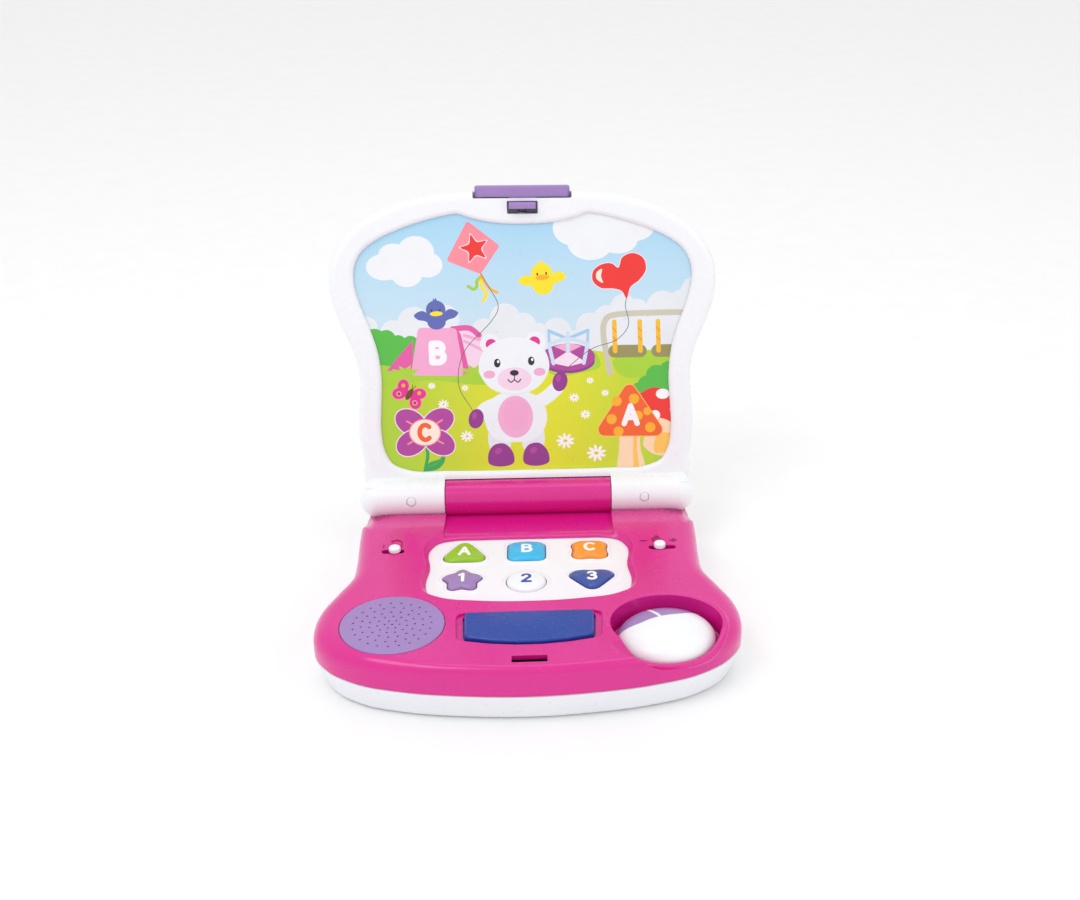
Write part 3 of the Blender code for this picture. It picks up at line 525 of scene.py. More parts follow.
def walled(sheet, rings, centre, floor=True):
    """Adds the side walls under a printed top, and sets the piece down at its centre."""
    bm = open_mesh(sheet)
    rows = sweep(bm, rings, closed=False)
    if floor:
        bm.faces.new(rows[0][::-1])
    bmesh.ops.remove_doubles(bm, verts=bm.verts, dist=WELD)
    bmesh.ops.recalc_face_normals(bm, faces=bm.faces)
    bmesh.ops.translate(bm, verts=bm.verts, vec=Vector((*centre, 0)) * MM)
    close_mesh(sheet, bm)
    shade(sheet)


def stroke(points, width, round_ends=True):
    """The outlines of a thick line: one quad and one round joint for each stretch."""
    p = np.asarray(points, float)
    apart = np.linalg.norm(np.diff(p, axis=0), axis=1) > 1e-6
    p = np.vstack([p[:1], p[1:][apart]])
    loops = []
    for a, b in zip(p, p[1:]):
        along = (b - a) / np.linalg.norm(b - a)
        side = np.array([-along[1], along[0]]) * width / 2
        loops.append(np.array([a - side, b - side, b + side, a + side]))
    for q in p if round_ends else p[1:-1]:
        loops.append(ellipse(width / 2, width / 2, 14, q))
    return loops


def arc_points(cx, cy, rx, ry, first, last, steps=10):
    angles = np.radians(np.linspace(first, last, steps + 1))
    return [(cx + rx * math.cos(a), cy + ry * math.sin(a)) for a in angles]


GLYPHS = {
    "A": [[(-0.36, -0.5), (0, 0.5), (0.36, -0.5)], [(-0.2, -0.16), (0.2, -0.16)]],
    "B": [[(-0.28, -0.5), (-0.28, 0.5), (0.04, 0.5)] + arc_points(0.04, 0.27, 0.24, 0.23, 90, -90)
          + [(-0.28, 0.04)], [(0.04, 0.04)] + arc_points(0.06, -0.23, 0.27, 0.27, 90, -90) + [(-0.28, -0.5)]],
    "C": [arc_points(0.04, 0, 0.38, 0.5, 48, 312, 16)],
    "1": [[(-0.2, 0.3), (0.04, 0.5), (0.04, -0.5)]],
    "2": [arc_points(0, 0.22, 0.27, 0.28, 165, -35, 10) + [(-0.29, -0.5), (0.3, -0.5)]],
    "3": [arc_points(-0.02, 0.25, 0.26, 0.25, 150, -90, 9)
          + arc_points(-0.02, -0.24, 0.29, 0.26, 90, -150, 10)],
}


def glyph(letter, height, width, centre=(0, 0), turn=0.0):
    """The loops of a plain letter or digit drawn with a round pen."""
    loops = []
    for line in GLYPHS[letter]:
        loops += stroke(turned_by(np.array(line) * (height - width), turn) + centre, width)
    return loops


# Base ---------------------------------------------------------------------------------------------

def shoulder(loop):
    """How far the rounded edge of the deck reaches in from the outline, at each point."""
    x, y = np.abs(loop[:, 0]), loop[:, 1]
    front = 5 + 2.5 * smoothstep(x, 45, 78) + 3.5 * smoothstep(x, 84, 112)
    back = 3 + 5.5 * smoothstep(x, 80, 100)
    return front + (back - front) * smoothstep(y, 0, 70)


def deck_rings(loop, steps):
    width = shoulder(loop)
    wall = [at_height(inset(loop, 0.35), SEAM_Z), at_height(loop, SEAM_Z + 0.4), at_height(loop, WALL_TOP)]
    return wall + rolled(loop, width, width, DECK_Z, steps)


def opening(name, loop, low, radius, top=DECK_Z + 0.02, flare=0.0, steps=4):
    """A cutter for an opening whose upper edge is rolled over by a radius."""
    edge = rolled(loop, -radius, radius, top, steps, -flare)
    return loft(name, [at_height(loop, low), *edge, at_height(inset(loop, -flare - radius), top + 5)])


def bar_outline(extra_x=0.0, extra_y=0.0):
    bow = [(x, -68.2 - 5.0 * (1 - (x / 31.4) ** 2)) for x in (-31.4, -19, -6.4, 6.4, 19, 31.4)]
    loop = rounded(bow + [(32.2, -49.7), (-32.2, -49.7)], 3.0, 8)
    centre = loop.mean(0)
    return inset((loop - centre) * (1 + extra_x / 35, 1) + centre, -extra_y)


def bay_rim_height(loop):
    """The bay's rim is level with the deck and dips where the front edge falls away."""
    return DECK_Z + 0.3 - BAY_DIP * smoothstep(-loop[:, 1], 62, 87)


def bay_loop(larger):
    return ellipse(BAY_RX + larger, BAY_RY + larger, 110, BAY_CENTRE)


def bay_body():
    """The outside of the bay's tub, up to its rounded rim."""
    foot = bay_loop(-2.6)
    rings = [at_height(foot, BAY_FLOOR - 2), at_height(foot, BAY_FLOOR + 2),
             at_height(bay_loop(1.6), BAY_FLOOR + 5)]
    for i in range(11):
        a = math.pi * 0.95 * i / 10
        loop = bay_loop(BAY_RIM + BAY_RIM * math.cos(a))
        rings.append(at_height(loop, bay_rim_height(loop) - BAY_RIM * (1 - math.sin(a))))
    inner = bay_loop(-1.5)
    rings.append(at_height(inner, bay_rim_height(inner) - 3))
    return loft("bay_body", rings)


def scoop_floor(loop):
    """The scoop lies just under the rim at the front, and above the deck at the sides."""
    x, y = loop[:, 0], loop[:, 1]
    return bay_rim_height(loop) + 1.1 - 2.6 * smoothstep(-y, 62, 74) + 7.0 * (1 - smoothstep(x, 42, 58))


def bay_scoop():
    """The hollow in the deck that lets the bay's rim dip at the front. It fades out to the sides."""
    rings = []
    for i in range(9):
        loop = bay_loop(SCOOP_INNER + (SCOOP_FLAT - SCOOP_INNER) * i / 8)
        rings.append(at_height(loop, scoop_floor(loop)))
    floor = scoop_floor(bay_loop(SCOOP_FLAT))
    for larger, share in ((6.5, 0.07), (8.5, 0.28), (10.5, 0.62), (SCOOP_REACH, 1.0)):
        rings.append(at_height(bay_loop(larger), floor + (DECK_Z + 1.8 - floor) * share))
    rings.append(at_height(bay_loop(SCOOP_REACH), DECK_Z + 9))
    return loft("bay_scoop", rings)


def bay_flange(loop):
    """The sloping wall under the scoop, which closes the base beneath it."""
    fall = 3.4 * smoothstep(-bay_loop(0)[:, 1], 64, 87)
    section = ((-1.5, FLANGE_LOW), (0.5, FLANGE_LOW), (FLANGE_REACH, DECK_Z - 1.3 - fall),
               (FLANGE_REACH - 0.2, DECK_Z - 0.9), (-1.5, DECK_Z - 0.9))
    flange = loft("bay_flange", [at_height(bay_loop(larger), z) for larger, z in section])
    cut(flange, block("clear_of_bar", (10, 39.3), (-95, -30), (10, 45)))
    intersect(flange, loft("skin", [ring - (0, 0, 1.1) for ring in deck_rings(inset(loop, 0.7), 8)]))
    return flange


def slope_cutter():
    """Takes the top off the deck towards the hinge, with the corners rounded over at the sides."""
    (front_y, front_z), (rear_y, rear_z) = SLOPE
    rings = []
    for x, drop in SLOPE_DROPS:
        start = front_y + drop * 0.35
        section = [(start, front_z), (62, front_z - 2.9 - drop * 0.55), (rear_y, rear_z - drop),
                   (104, rear_z - drop), (104, 60), (start, 60)]
        rings.append([(x, y, z) for y, z in section])
    mirror = [[(-x, y, z) for x, y, z in ring] for ring in rings[::-1]]
    return loft("rear_slope", mirror + rings)


def across(name, half_width, section):
    """A bar right across the toy, given by its section in y and z."""
    return loft(name, [[(x, y, z) for y, z in section] for x in (-half_width, half_width)])


def bay_cavity():
    section = ((-6.2, BAY_FLOOR), (-4.8, BAY_FLOOR + 0.6), (-4.4, BAY_FLOOR + 2.4), (0, BAY_FLOOR + 5.2),
               (0, DECK_Z + 8))
    return loft("bay_cavity", [at_height(bay_loop(larger), z) for larger, z in section])


def base_top():
    loop = outline(BASE_HALF, 3)
    inner = [at_height(inset(loop, WALL), SEAM_Z), at_height(inset(loop, WALL), WALL_TOP),
             at_height(inset(loop, shoulder(loop) + 1.6), DECK_Z - 2.6)]
    shell = loft("base_top", deck_rings(loop, 9)[::-1] + inner, PINK, angle=50)
    keypad = outline(KEYPAD_HALF, 2.5)
    add(shell, prism("collar", inset(keypad, -6), PANEL_TOP + GAP, DECK_Z - 1))
    cut(shell, opening("keypad_opening", keypad, PANEL_TOP - 1, 1.5, flare=1.2))
    cut(shell, opening("keypad_slope", inset(keypad, 0.02), PANEL_TOP + 0.4, 1.2, flare=2.9))
    hinge_troughs(shell, loop)
    add(shell, bay_flange(loop))
    cut(shell, bay_scoop())
    add(shell, bay_body())
    cut(shell, bay_cavity())
    cut(shell, prism("bar_opening", bar_outline(0.4, 0.5), 20, 50))
    cut(shell, opening("bar_well", bar_outline(3.0, 1.2), DECK_Z - 1.7, 1.0))
    seat = ellipse(GRILLE_R + GAP, GRILLE_R + GAP, 90, GRILLE_CENTRE)
    cut(shell, opening("grille_seat", seat, DECK_Z - 1.6, 0.4))
    cut(shell, prism("grille_hole", ellipse(25.5, 25.5, 60, GRILLE_CENTRE), 25, 50))
    cut(shell, opening("latch_slot", rounded_box(8.8, -93.4, -88.5, 0.5, 3), 20, 0.2, steps=3))
    cut(shell, block("hook_room", (-9.5, 9.5), (-96.2, -90.0), (25.3, DECK_Z - 2.8)))
    for name, ends, (_, y) in (("power_way", POWER_SLOT, POWER_KNOB),
                               ("volume_way", VOLUME_SLOT, VOLUME_KNOB)):
        way = rounded([(ends[0] + KNOB_SLOT_R, y), (ends[1] - KNOB_SLOT_R, y)], KNOB_SLOT_R, 8)
        cut(shell, opening(name, way, 25, 0.5, steps=3))
    finish_shell(shell)
    mount(shell, "base", "base_top_shell")


def hinge_troughs(shell, loop):
    """The slope down to the hinge, the troughs the barrels lie in, and the knuckle between them."""
    axis = (0, HINGE_Y, HINGE_Z)
    body = loft("under_skin", [ring - (0, 0, 1.2) for ring in deck_rings(inset(loop, 0.8), 3)])
    bodies = [body, body.copy()]
    bpy.context.scene.collection.objects.link(bodies[1])
    liners = []
    for side, within in zip((-1, 1), bodies):
        wall = [(BARREL_R + 2.9, side * (BARREL_START - 2.8)), (BARREL_R + 2.9, side * 110)]
        liners.append(intersect(turned(f"liner{side}", wall, 72, "X", axis), within))
    middle = [(45.6, 33.0), (84, 24.6), (84, 28.3), (70, 33.57), (45.6, 34.7)]
    sides = [(52, 29.5), (84, 20.6), (84, 28.3), (70, 33.5), (52, 32.8)]
    add(shell, across("slope_backing", 95, middle), across("corner_backing", 98.0, sides))
    add(shell, *liners)
    cut(shell, slope_cutter())
    cut(shell, block("over_back_wall", (-130, 130), (HINGE_Y - 1, HINGE_Y + 30), (DECK_Z - 4.6, DECK_Z + 30)))
    for side in (-1, 1):
        trough = [(BARREL_R + 0.7, side * (BARREL_START - 0.3)), (BARREL_R + 0.7, side * 130)]
        cut(shell, turned(f"trough{side}", trough, 72, "X", axis))
    shelf = [(37.2, DECK_Z - 1.4), (44.2, DECK_Z - 1.4), (79.6, 27.5), (79.6, 50), (37.2, 50)]
    cut(shell, across("shelf", 50.5, shelf))
    end = BARREL_START - 0.3
    knuckle = [(BARREL_R - 0.6, -end), (BARREL_R - 0.2, 0.2 - end), (BARREL_R, 0.7 - end)]
    knuckle += [(r, -x) for r, x in knuckle[::-1]]
    add(shell, turned("knuckle", knuckle, 96, "X", axis))
    web_y, web_z = (HINGE_Y - 3.6, HINGE_Y + 13.1), (DECK_Z - 12.6, DECK_Z - 5.2)
    add(shell, block("knuckle_web", (-50, 50), web_y, web_z))


def base_bottom():
    loop = outline(BASE_HALF, 3)
    rings = rolled(loop, 4.6, -4.6, 0, 7, start=4.8)[::-1]
    for depth, z in ((2.0, 12.0), (0.4, 16.4), (0.0, SEAM_Z - 0.7), (0.4, SEAM_Z - GAP), (WALL, SEAM_Z - GAP),
                     (WALL + 5.2, WALL)):
        rings.append(at_height(inset(loop, depth), z))
    shell = loft("base_bottom", rings, COOL_WHITE, angle=50)
    cut(shell, block("door_seat", (-30.3, 30.3), (21.0, 67.3), (-1, 2.2)))
    cut(shell, prism("tongue_seat", rounded_box(7.3, 11, 23, 1.0, 4), -1, 2.2))
    for x, y in BASE_SCREWS:
        cut(shell, turned("head_hole", [(3.9, -0.5), (3.4, 0.4), (3.4, 2.2)], 32, place=(x, y, 0)))
    shell.data.set_sharp_from_angle(angle=math.radians(50))
    mount(shell, "base", "base_bottom_shell")


def battery_door():
    def plate(name, loop, material=None):
        return loft(name, [at_height(inset(loop, 0.4), 0.2), at_height(loop, 0.6), at_height(loop, 2.0)],
                    material)

    door = plate("battery_cover", rounded_box(29, 22.3, 66.0, 1.0, 5), COOL_WHITE)
    add(door, plate("tongue", rounded_box(7.0, 11.3, 24, 1.0, 5)))
    cut(door, turned("head_hole", [(3.7, -0.5), (3.2, 0.6), (3.2, 3)], 40, place=(*DOOR_SCREW, 0)))
    for x in range(-24, 25, 4):
        grip = rounded([(x, 34), (x, 54)], 0.7, 8)
        cut(door, prism("groove", grip, -1, 0.8))
    cut(door, prism("arrow", np.array([(0, 25.5), (5, 29), (-5, 29)], float), -1, 0.8))
    mount(door, "base", "battery_door")


def grille():
    """A thin disc with rings of small holes that follow a gentle spiral."""
    x, y = GRILLE_CENTRE
    rim = ellipse(GRILLE_R - 0.5, GRILLE_R - 0.5, 90, (x, y))
    holes = [(0.0, 0.0)]
    for ring, (radius, count) in enumerate(GRILLE_RINGS):
        for k in range(count):
            a = 2 * math.pi * k / count + ring * 0.42
            holes.append((radius * math.cos(a), radius * math.sin(a)))
    loops = [(ellipse(0.62, 0.62, 12, (x + u, y + v)), 1) for u, v in holes]
    top = printed("grille_top", rim, loops, [PURPLE, HOLE], lambda u, v: (u, v, DECK_Z + 0.2))
    pierced(top, 1.2)
    edge = [(-0.5, 0.2), (-0.1, 0.08), (0, -0.2), (0, -1.3), (-0.5, -1.3)]
    bm = open_mesh(top)
    sweep(bm, [at_height(ellipse(GRILLE_R + out, GRILLE_R + out, 90, (x, y)), DECK_Z + h) for out, h in edge])
    close_mesh(top, bm)
    shade(top, 40)
    mount(top, "base", "speaker_grille")


# Keys ---------------------------------------------------------------------------------------------

def heart_outline():
    loop = resampled(rounded([(0, -5.6), (7.9, 4.4), (-7.9, 4.4)], 4.6, 14), 84)
    dip = 1.1 * np.exp(-((loop[:, 0] / 3.4) ** 2)) * (loop[:, 1] > 0)
    return np.column_stack([loop[:, 0], loop[:, 1] - dip])


def key_shapes():
    """Name, outline, letter, plastic, ink and record slot of each shaped key."""
    triangle = resampled(rounded([(-7.2, -5.2), (7.2, -5.2), (0, 5.9)], 4.6, 14), 84)
    square = resampled(rounded_box(6.6, -6.1, 6.1, 4.2, 10), 84)
    clover = lobed(11.3, 1.6, 4, 45) * (0.98, 0.93)
    star = lobed(9.9, 1.5, 5, 90)
    return [
        ("key_a", triangle, "A", GREEN, INK_WHITE, "green_plastic"),
        ("key_b", square, "B", BLUE, INK_WHITE, "light_blue_plastic"),
        ("key_c", clover, "C", ORANGE, INK_WHITE, "orange_plastic"),
        ("key_1", star, "1", STAR_PURPLE, INK_WHITE, "purple_plastic"),
        ("key_2", ellipse(11.1, 11.1, 96), "2", WHITE, INK_BLUE, "white_plastic"),
        ("key_3", heart_outline(), "3", DARK_BLUE, INK_WHITE, "dark_blue_plastic"),
    ]


def pillow(name, loop, centre, top, crown, edge, depth, regions, materials, flange=None, grid=1.0):
    """A button with a domed top, a rolled edge and straight sides. The regions are printed on the dome."""
    reach = float(np.abs(loop).max())

    def dome(x, y):
        return top - crown * (x * x + y * y) / reach**2

    rings = []
    if flange:
        low, high, out = flange
        rings += [at_height(inset(loop, -out), low), at_height(inset(loop, -out), high)]
    rings.append(at_height(loop, top - depth))
    for i in range(6):
        a = math.pi / 2 * i / 5
        ring = inset(loop, edge * (1 - math.cos(a)))
        rings.append(at_height(ring, dome(ring[:, 0], ring[:, 1]) - edge * (1 - math.sin(a)) * 0.9))
    sheet = printed(name, ring, regions, materials, lambda x, y: (x, y, dome(x, y)), grid)
    walled(sheet, rings, centre)
    return sheet


def keys():
    for name, loop, letter, plastic, ink, slot in key_shapes():
        offset = (0, -0.8) if letter == "A" else (0, 0.4)
        marks = [(mark, 1) for mark in glyph(letter, 9.6, 1.9, offset)]
        key = pillow(name + "_cap", loop, KEYS[name], KEY_TOP, 1.3, 1.9, 5.6, marks, [plastic, ink],
                     flange=(KEY_TOP - 6.9, KEY_TOP - 5.6, 1.3))
        mount(key, name + "_body", name)


def bar_button():
    loop = resampled(bar_outline(), 200) - BAR_CENTRE
    top = DECK_Z + 1.3
    rings = [at_height(inset(loop, 2.6), 27.7), at_height(inset(loop, 2.6), top - 5.6)]
    rings += [at_height(inset(loop, -1.2), top - 5.6), at_height(inset(loop, -1.2), top - 4.2)]
    rings += [at_height(loop, top - 4.2), *rolled(loop, 1.3, 1.3, top, 6)]
    button = loft("bar_key", rings, BAR_BLUE, (*BAR_CENTRE, 0), 50)
    mount(button, "bar", "bar_button")


def keypad():
    """The white panel: a plate with shaped holes, and a raised ring around each key."""
    under = inset(outline(KEYPAD_HALF, 2.5), -2.4)
    holes = [(inset(loop, -0.5) + KEYS[name], 1) for name, loop, *_ in key_shapes()]
    plate = printed("keypad_plate", under, holes, [KEYPAD_WHITE, HOLE], lambda x, y: (x, y, PANEL_TOP))
    pierced(plate, 1.8)
    section = [(0.5, -1.0), (0.5, 0.45), (0.75, 0.75), (1.15, 0.9), (1.6, 0.85), (2.1, 0.55), (2.7, 0.15),
               (3.3, -0.02), (3.3, -1.0)]
    bm = open_mesh(plate)
    for name, loop, *_ in key_shapes():
        near = inset(loop, -0.5)
        rings = []
        for out, up in section:
            ring = near if out == 0.5 else grown(near, out - 0.5)
            rings.append(at_height(ring, PANEL_TOP + up) + (*KEYS[name], 0))
        sweep(bm, rings)
    bmesh.ops.recalc_face_normals(bm, faces=bm.faces)
    close_mesh(plate, bm)
    shade(plate, 45)
    mount(plate, "base", "keypad_panel")


# Other controls -----------------------------------------------------------------------------------

def mouse():
    """A low dome with two printed buttons at its nose, which points to the back left."""
    def dome(x, y):
        rho = min(0.9999, math.hypot(x / MOUSE_RX, y / MOUSE_RY))
        return (x, y, MOUSE_TOP - MOUSE_HEIGHT * (1 - math.sqrt(1 - rho * rho)))

    border = smooth_line([(-36, -1), (-22, 0.2), (-14.9, 1.2), (-10.5, 2.9), (-4, 5.4), (1.3, 6.8),
                          (8.4, 9.0),
                          (16, 13.6), (26, 20)])
    buttons = np.vstack([border, [(26, 44), (-36, 44)]])
    divider = stroke([(-3.4, 5.6), (-8.6, 17), (-16, 36)], 1.9, False)
    # The thin grey line along the buttons' border is painted shade: it stands for the shade in a groove that
    # the smooth dome does not have.
    groove = stroke(border, 0.35, False)
    regions = [(buttons, 1)] + [(loop, 0) for loop in divider] + [(loop, 2) for loop in groove]
    shares = (0.985, 0.994, 0.999, 1)
    rim, inner, outer, full = [ellipse(MOUSE_RX * share, MOUSE_RY * share, 120) for share in shares]
    seam = moulded("mouse_groove_painted_shade", linear(176, 170, 190), 0.5, 0.05, 0.03)
    sheet = printed("mouse_shell", rim, regions, [WHITE, PURPLE, seam], dome, 1.1)
    rings = [[dome(x, y) for x, y in ring] for ring in (rim, inner, outer)]
    equator = MOUSE_TOP - MOUSE_HEIGHT
    for depth, rise in ((0.0, 0.0), (0.0, -2.0), (1.6, -2.0), (1.6, 1.0)):
        rings.append(at_height(inset(full, depth), equator + rise))
    walled(sheet, rings, MOUSE_CENTRE, floor=False)
    mount(sheet, "mouse_body", "mouse")


def knob(name, place, body, node_name):
    """A white peg with a domed cap."""
    profile = [(3.1, 0.15), (3.4, 0.5)] + arc_profile(3.4, 3.2, 1.2, 7) + [(1.0, 3.27)]
    cap = turned(name, profile, 48, place=(*place, DECK_Z), material=WHITE)
    add(cap, block("stem", (place[0] - 1.8, place[0] + 1.8), (place[1] - 1.4, place[1] + 1.4),
                   (DECK_Z - 7.4, DECK_Z + 1)))
    mount(cap, body, node_name)


def raised_marks():
    """Small moulded marks behind the two slide knobs: steps for off, low and high, and a sound wave."""
    bm = bmesh.new()
    lines = []
    for k, height in enumerate((2.2, 3.6, 5.0)):
        x = -84.6 + 5.2 * k
        lines.append([(x, 27.0), (x, 27.0 + height)])
    lines.append([(-80.2, 33.6), (-77.6, 35.0), (-75.0, 33.6)])
    lines.append([(66.0, 27.4), (69.4, 27.4)])
    for k in range(3):
        lines.append(arc_points(71.6, 28.6, 1.8 + 1.9 * k, 1.8 + 1.9 * k, -48, 48, 5))
    lines.append([(83.4, 27.4), (87.0, 27.4)])
    lines.append([(85.2, 25.6), (85.2, 29.2)])
    for line in lines:
        for loop in stroke(line, 0.9):
            top = inset(loop, 0.12)
            rows = sweep(bm, [at_height(loop, DECK_Z - 0.1), at_height(top, DECK_Z + 0.4)], closed=False)
            bm.faces.new(rows[1])
            bm.faces.new(rows[0][::-1])
    bmesh.ops.recalc_face_normals(bm, faces=bm.faces)
    # The marks get the darker pink of painted shade, for the shade along their raised strokes.
    marks = as_object("raised_marks", bm, [MARK_PINK_PAINTED_SHADE])
    mount(marks, "base")


# Lid ----------------------------------------------------------------------------------------------

def lid_loft(name, loop, depths, insets, material=None):
    return loft(name, [upright(inset(loop, amount), y) for y, amount in zip(depths, insets)], material,
                angle=50)


def window_cutter():
    """The picture window, whose front edge rolls inwards all round."""
    loop = outline(PICTURE_HALF, 2.5)
    rings = [upright(loop, PICTURE_Y + 4), upright(loop, LID_FACE + 2.6)]
    for i in range(1, 7):
        a = math.pi / 2 * i / 6
        rings.append(upright(inset(loop, -3.4 * (1 - math.cos(a))), LID_FACE + 2.6 - 2.62 * math.sin(a)))
    rings.append(upright(inset(loop, -3.4), LID_FACE - 3))
    return loft("picture_window", rings)


def barrel(side):
    straight = BARREL_END - BARREL_R
    profile = [(BARREL_R - 0.5, BARREL_START), (BARREL_R - 0.1, BARREL_START + 0.25),
               (BARREL_R, BARREL_START + 0.6)]
    for i in range(9):
        a = 1.44 * i / 8
        profile.append((BARREL_R * math.cos(a), straight + BARREL_R * math.sin(a)))
    return turned("barrel", [(r, side * x) for r, x in profile], 72, "X")


def foot_fillet(side):
    """Fills the corner between the bezel and its barrel, and shrinks away at its outer end."""
    section = np.array([(1.6, 13.2), (-0.9, 12.6), (-3.2, 11.4), (-5.4, 9.9), (-6.8, 8.7), (-6.4, 6),
                        (1.6, 6)])
    heart = np.array([-2.0, 8.2])
    rings = []
    for x, share in ((BARREL_START, 0.97), (BARREL_START + 0.3, 1.0), (93, 1.0), (96.5, 0.93), (99, 0.62)):
        rings.append([(side * x, y, z) for y, z in heart + (section - heart) * share])
    return loft("foot_fillet", rings)


def front_bezel():
    loop = outline(LID_HALF, 2.5)
    depths = [LID_FACE, LID_FACE + 0.15, LID_FACE + 0.6, LID_FACE + 1.4, LID_FACE + 2.7, LID_FACE + 4.6,
              LID_SEAM - 0.4, LID_SEAM, LID_SEAM, LID_FACE + 2.6]
    insets = [5.2, 3.6, 2.1, 1.0, 0.3, 0.0, 0.0, 0.4, 2.2, 4.6]
    bezel = lid_loft("front_bezel", loop, depths, insets, WHITE)
    add(bezel, block("foot", (-52, 52), (LID_FACE + 0.4, LID_SEAM), (4, 13.6)))
    for side in (-1, 1):
        add(bezel, barrel(side))
        add(bezel, foot_fillet(side))
    end = BARREL_START - 0.01
    cut(bezel, turned("knuckle_room", [(BARREL_R + 0.6, -end), (BARREL_R + 0.6, end)], 96, "X"))
    for side in (-1, 1):
        cut(bezel, turned("cap_seat", [(2.95, -15), (2.95, -8.9)], 40, "Y", (side * CAP_X, 0, CAP_Z)))
    cut(bezel, window_cutter())
    notch = rounded_box(28.6, 184.0, 199, 1.0, 5)
    cut(bezel, loft("latch_notch", [upright(notch, 12), upright(notch, -3)]))
    hook = rounded_box(8.4, 174.6, 180.6, 0.8, 5)
    cut(bezel, loft("hook_window", [upright(hook, 6), upright(hook, -2)]))
    finish_shell(bezel)
    mount(bezel, "lid", "lid_front_bezel", lid=True)


def rear_shell():
    loop = outline(LID_HALF, 2.5)
    seam = LID_SEAM + GAP
    depths = [LID_BACK, LID_BACK - 0.2, LID_BACK - 0.8, LID_BACK - 1.9, LID_BACK - 3.6, LID_BACK - 6.0,
              seam + 0.4, seam, seam, LID_BACK - 2.2]
    insets = [7.0, 4.9, 3.0, 1.4, 0.4, 0.0, 0.0, 0.4, 2.2, 5.4]
    shell = lid_loft("rear_shell", loop, depths, insets, WHITE)
    add(shell, block("foot", (-97, 97), (seam, 14), (4.2, 13.4)))
    cut(shell, turned("barrel_room", [(BARREL_R + 0.5, -130), (BARREL_R + 0.5, 130)], 96, "X"))
    notch = rounded_box(28.6, 182.0, 199, 1.0, 5)
    cut(shell, loft("latch_notch", [upright(notch, 14.9), upright(notch, 6)]))
    hole = [(3.0, 12), (3.0, LID_BACK - 0.9), (3.8, LID_BACK + 0.1), (3.8, 30)]
    for x, z in LID_SCREWS:
        cut(shell, turned("head_hole", hole, 32, "Y", (x, 0, z)))
    for s in (60, 66, 72, 78, 84):
        groove = rounded([(-26, s), (26, s)], 1.0, 6)
        cut(shell,
            loft("groove", [upright(groove, LID_BACK - 0.9), upright(inset(groove, -0.3), LID_BACK + 1)]))
    finish_shell(shell)
    mount(shell, "lid", "lid_rear_shell", lid=True)


def latch():
    """The press bar on the lid's top edge, with the hook that catches under the deck."""
    face = rounded_box(25.8, 7.0, 11.4, 2.8, 8)
    bar = loft("latch_bar", [at_height(face, 183.6), *rolled(face, 1.4, 1.4, 190.4, 5)], PURPLE)
    add(bar, block("stem", (-8.0, 8.0), (4.4, 7.4), (176.6, 185.0)))
    add(bar, block("hook_arm", (-8.0, 8.0), (-4.5, 6.0), (177.0, 179.0)))
    lip = np.array([(-4.5, 178.0), (-2.9, 178.0), (-2.9, 180.4), (-3.6, 180.9), (-4.5, 179.6)])
    sides = [np.column_stack([np.full(5, x), lip]) for x in (-8.0, 8.0)]
    add(bar, loft("hook_lip", sides))
    for x in range(-18, 19, 6):
        rib = rounded([(x, 7.4), (x, 11.0)], 0.7, 6)
        add(bar,
            loft("rib", [at_height(rib, 189.8), at_height(rib, 190.3), at_height(inset(rib, 0.25), 190.38)]))
    mount(soften(bar, 0.2, 50, 2), "latch_body", "latch", lid=True)


def hinge_caps():
    profile = [(1.2, -11.05), (2.0, -10.98), (2.5, -10.7), (2.75, -10.3), (2.8, -9.2)]
    for side, name in ((-1, "left"), (1, "right")):
        cap = turned(f"cap_{name}", profile, 40, "Y", (side * CAP_X, 0, CAP_Z), WHITE)
        mount(cap, "lid", f"hinge_cap_{name}", lid=True)


def cross_arms(x, y, first):
    """The two bars of the cross in a screw's head."""
    bar = [(-1.5, -0.3), (1.5, -0.3), (1.5, 0.3), (-1.5, 0.3)]
    return [turned_by(bar, first + turn) + (x, y) for turn in (0, 90)]


def screws():
    """The screw heads, each with a cross in it, and their shanks."""
    for i, (x, z) in enumerate(LID_SCREWS):
        y = LID_BACK - 0.5
        profile = [(1.6, y), (2.5, y - 0.25), (2.8, y - 0.8), (2.8, y - 1.8), (1.2, y - 1.8), (0.4, y - 9.8)]
        screw = turned(f"lid_screw_{i + 1}_head", profile, 32, "Y", (x, 0, z), STEEL)
        for arm in cross_arms(x, z, 30):
            cut(screw, loft("cross", [upright(arm, y + 2), upright(arm, y - 0.9)]))
        mount(screw, "lid", f"lid_screw_{i + 1}", lid=True)
    places = [(f"base_screw_{i + 1}", (x, y, 3.1), 12.0, 2.9, 2.0) for i, (x, y) in enumerate(BASE_SCREWS)]
    places.append(("battery_door_screw", (*DOOR_SCREW, 0.5), 9.0, 2.8, 1.8))
    for name, (x, y, z), shank, r, high in places:
        profile = [(r - 1.2, 0.0), (r - 0.3, 0.25), (r, 0.8), (r, high), (1.3, high), (0.4, high + shank)]
        screw = turned(name + "_head", profile, 32, place=(x, y, z), material=STEEL)
        for arm in cross_arms(x, y, 15):
            cut(screw, prism("cross", arm, z - 1, z + 0.9))
        mount(screw, "base", name)


# Picture ------------------------------------------------------------------------------------------

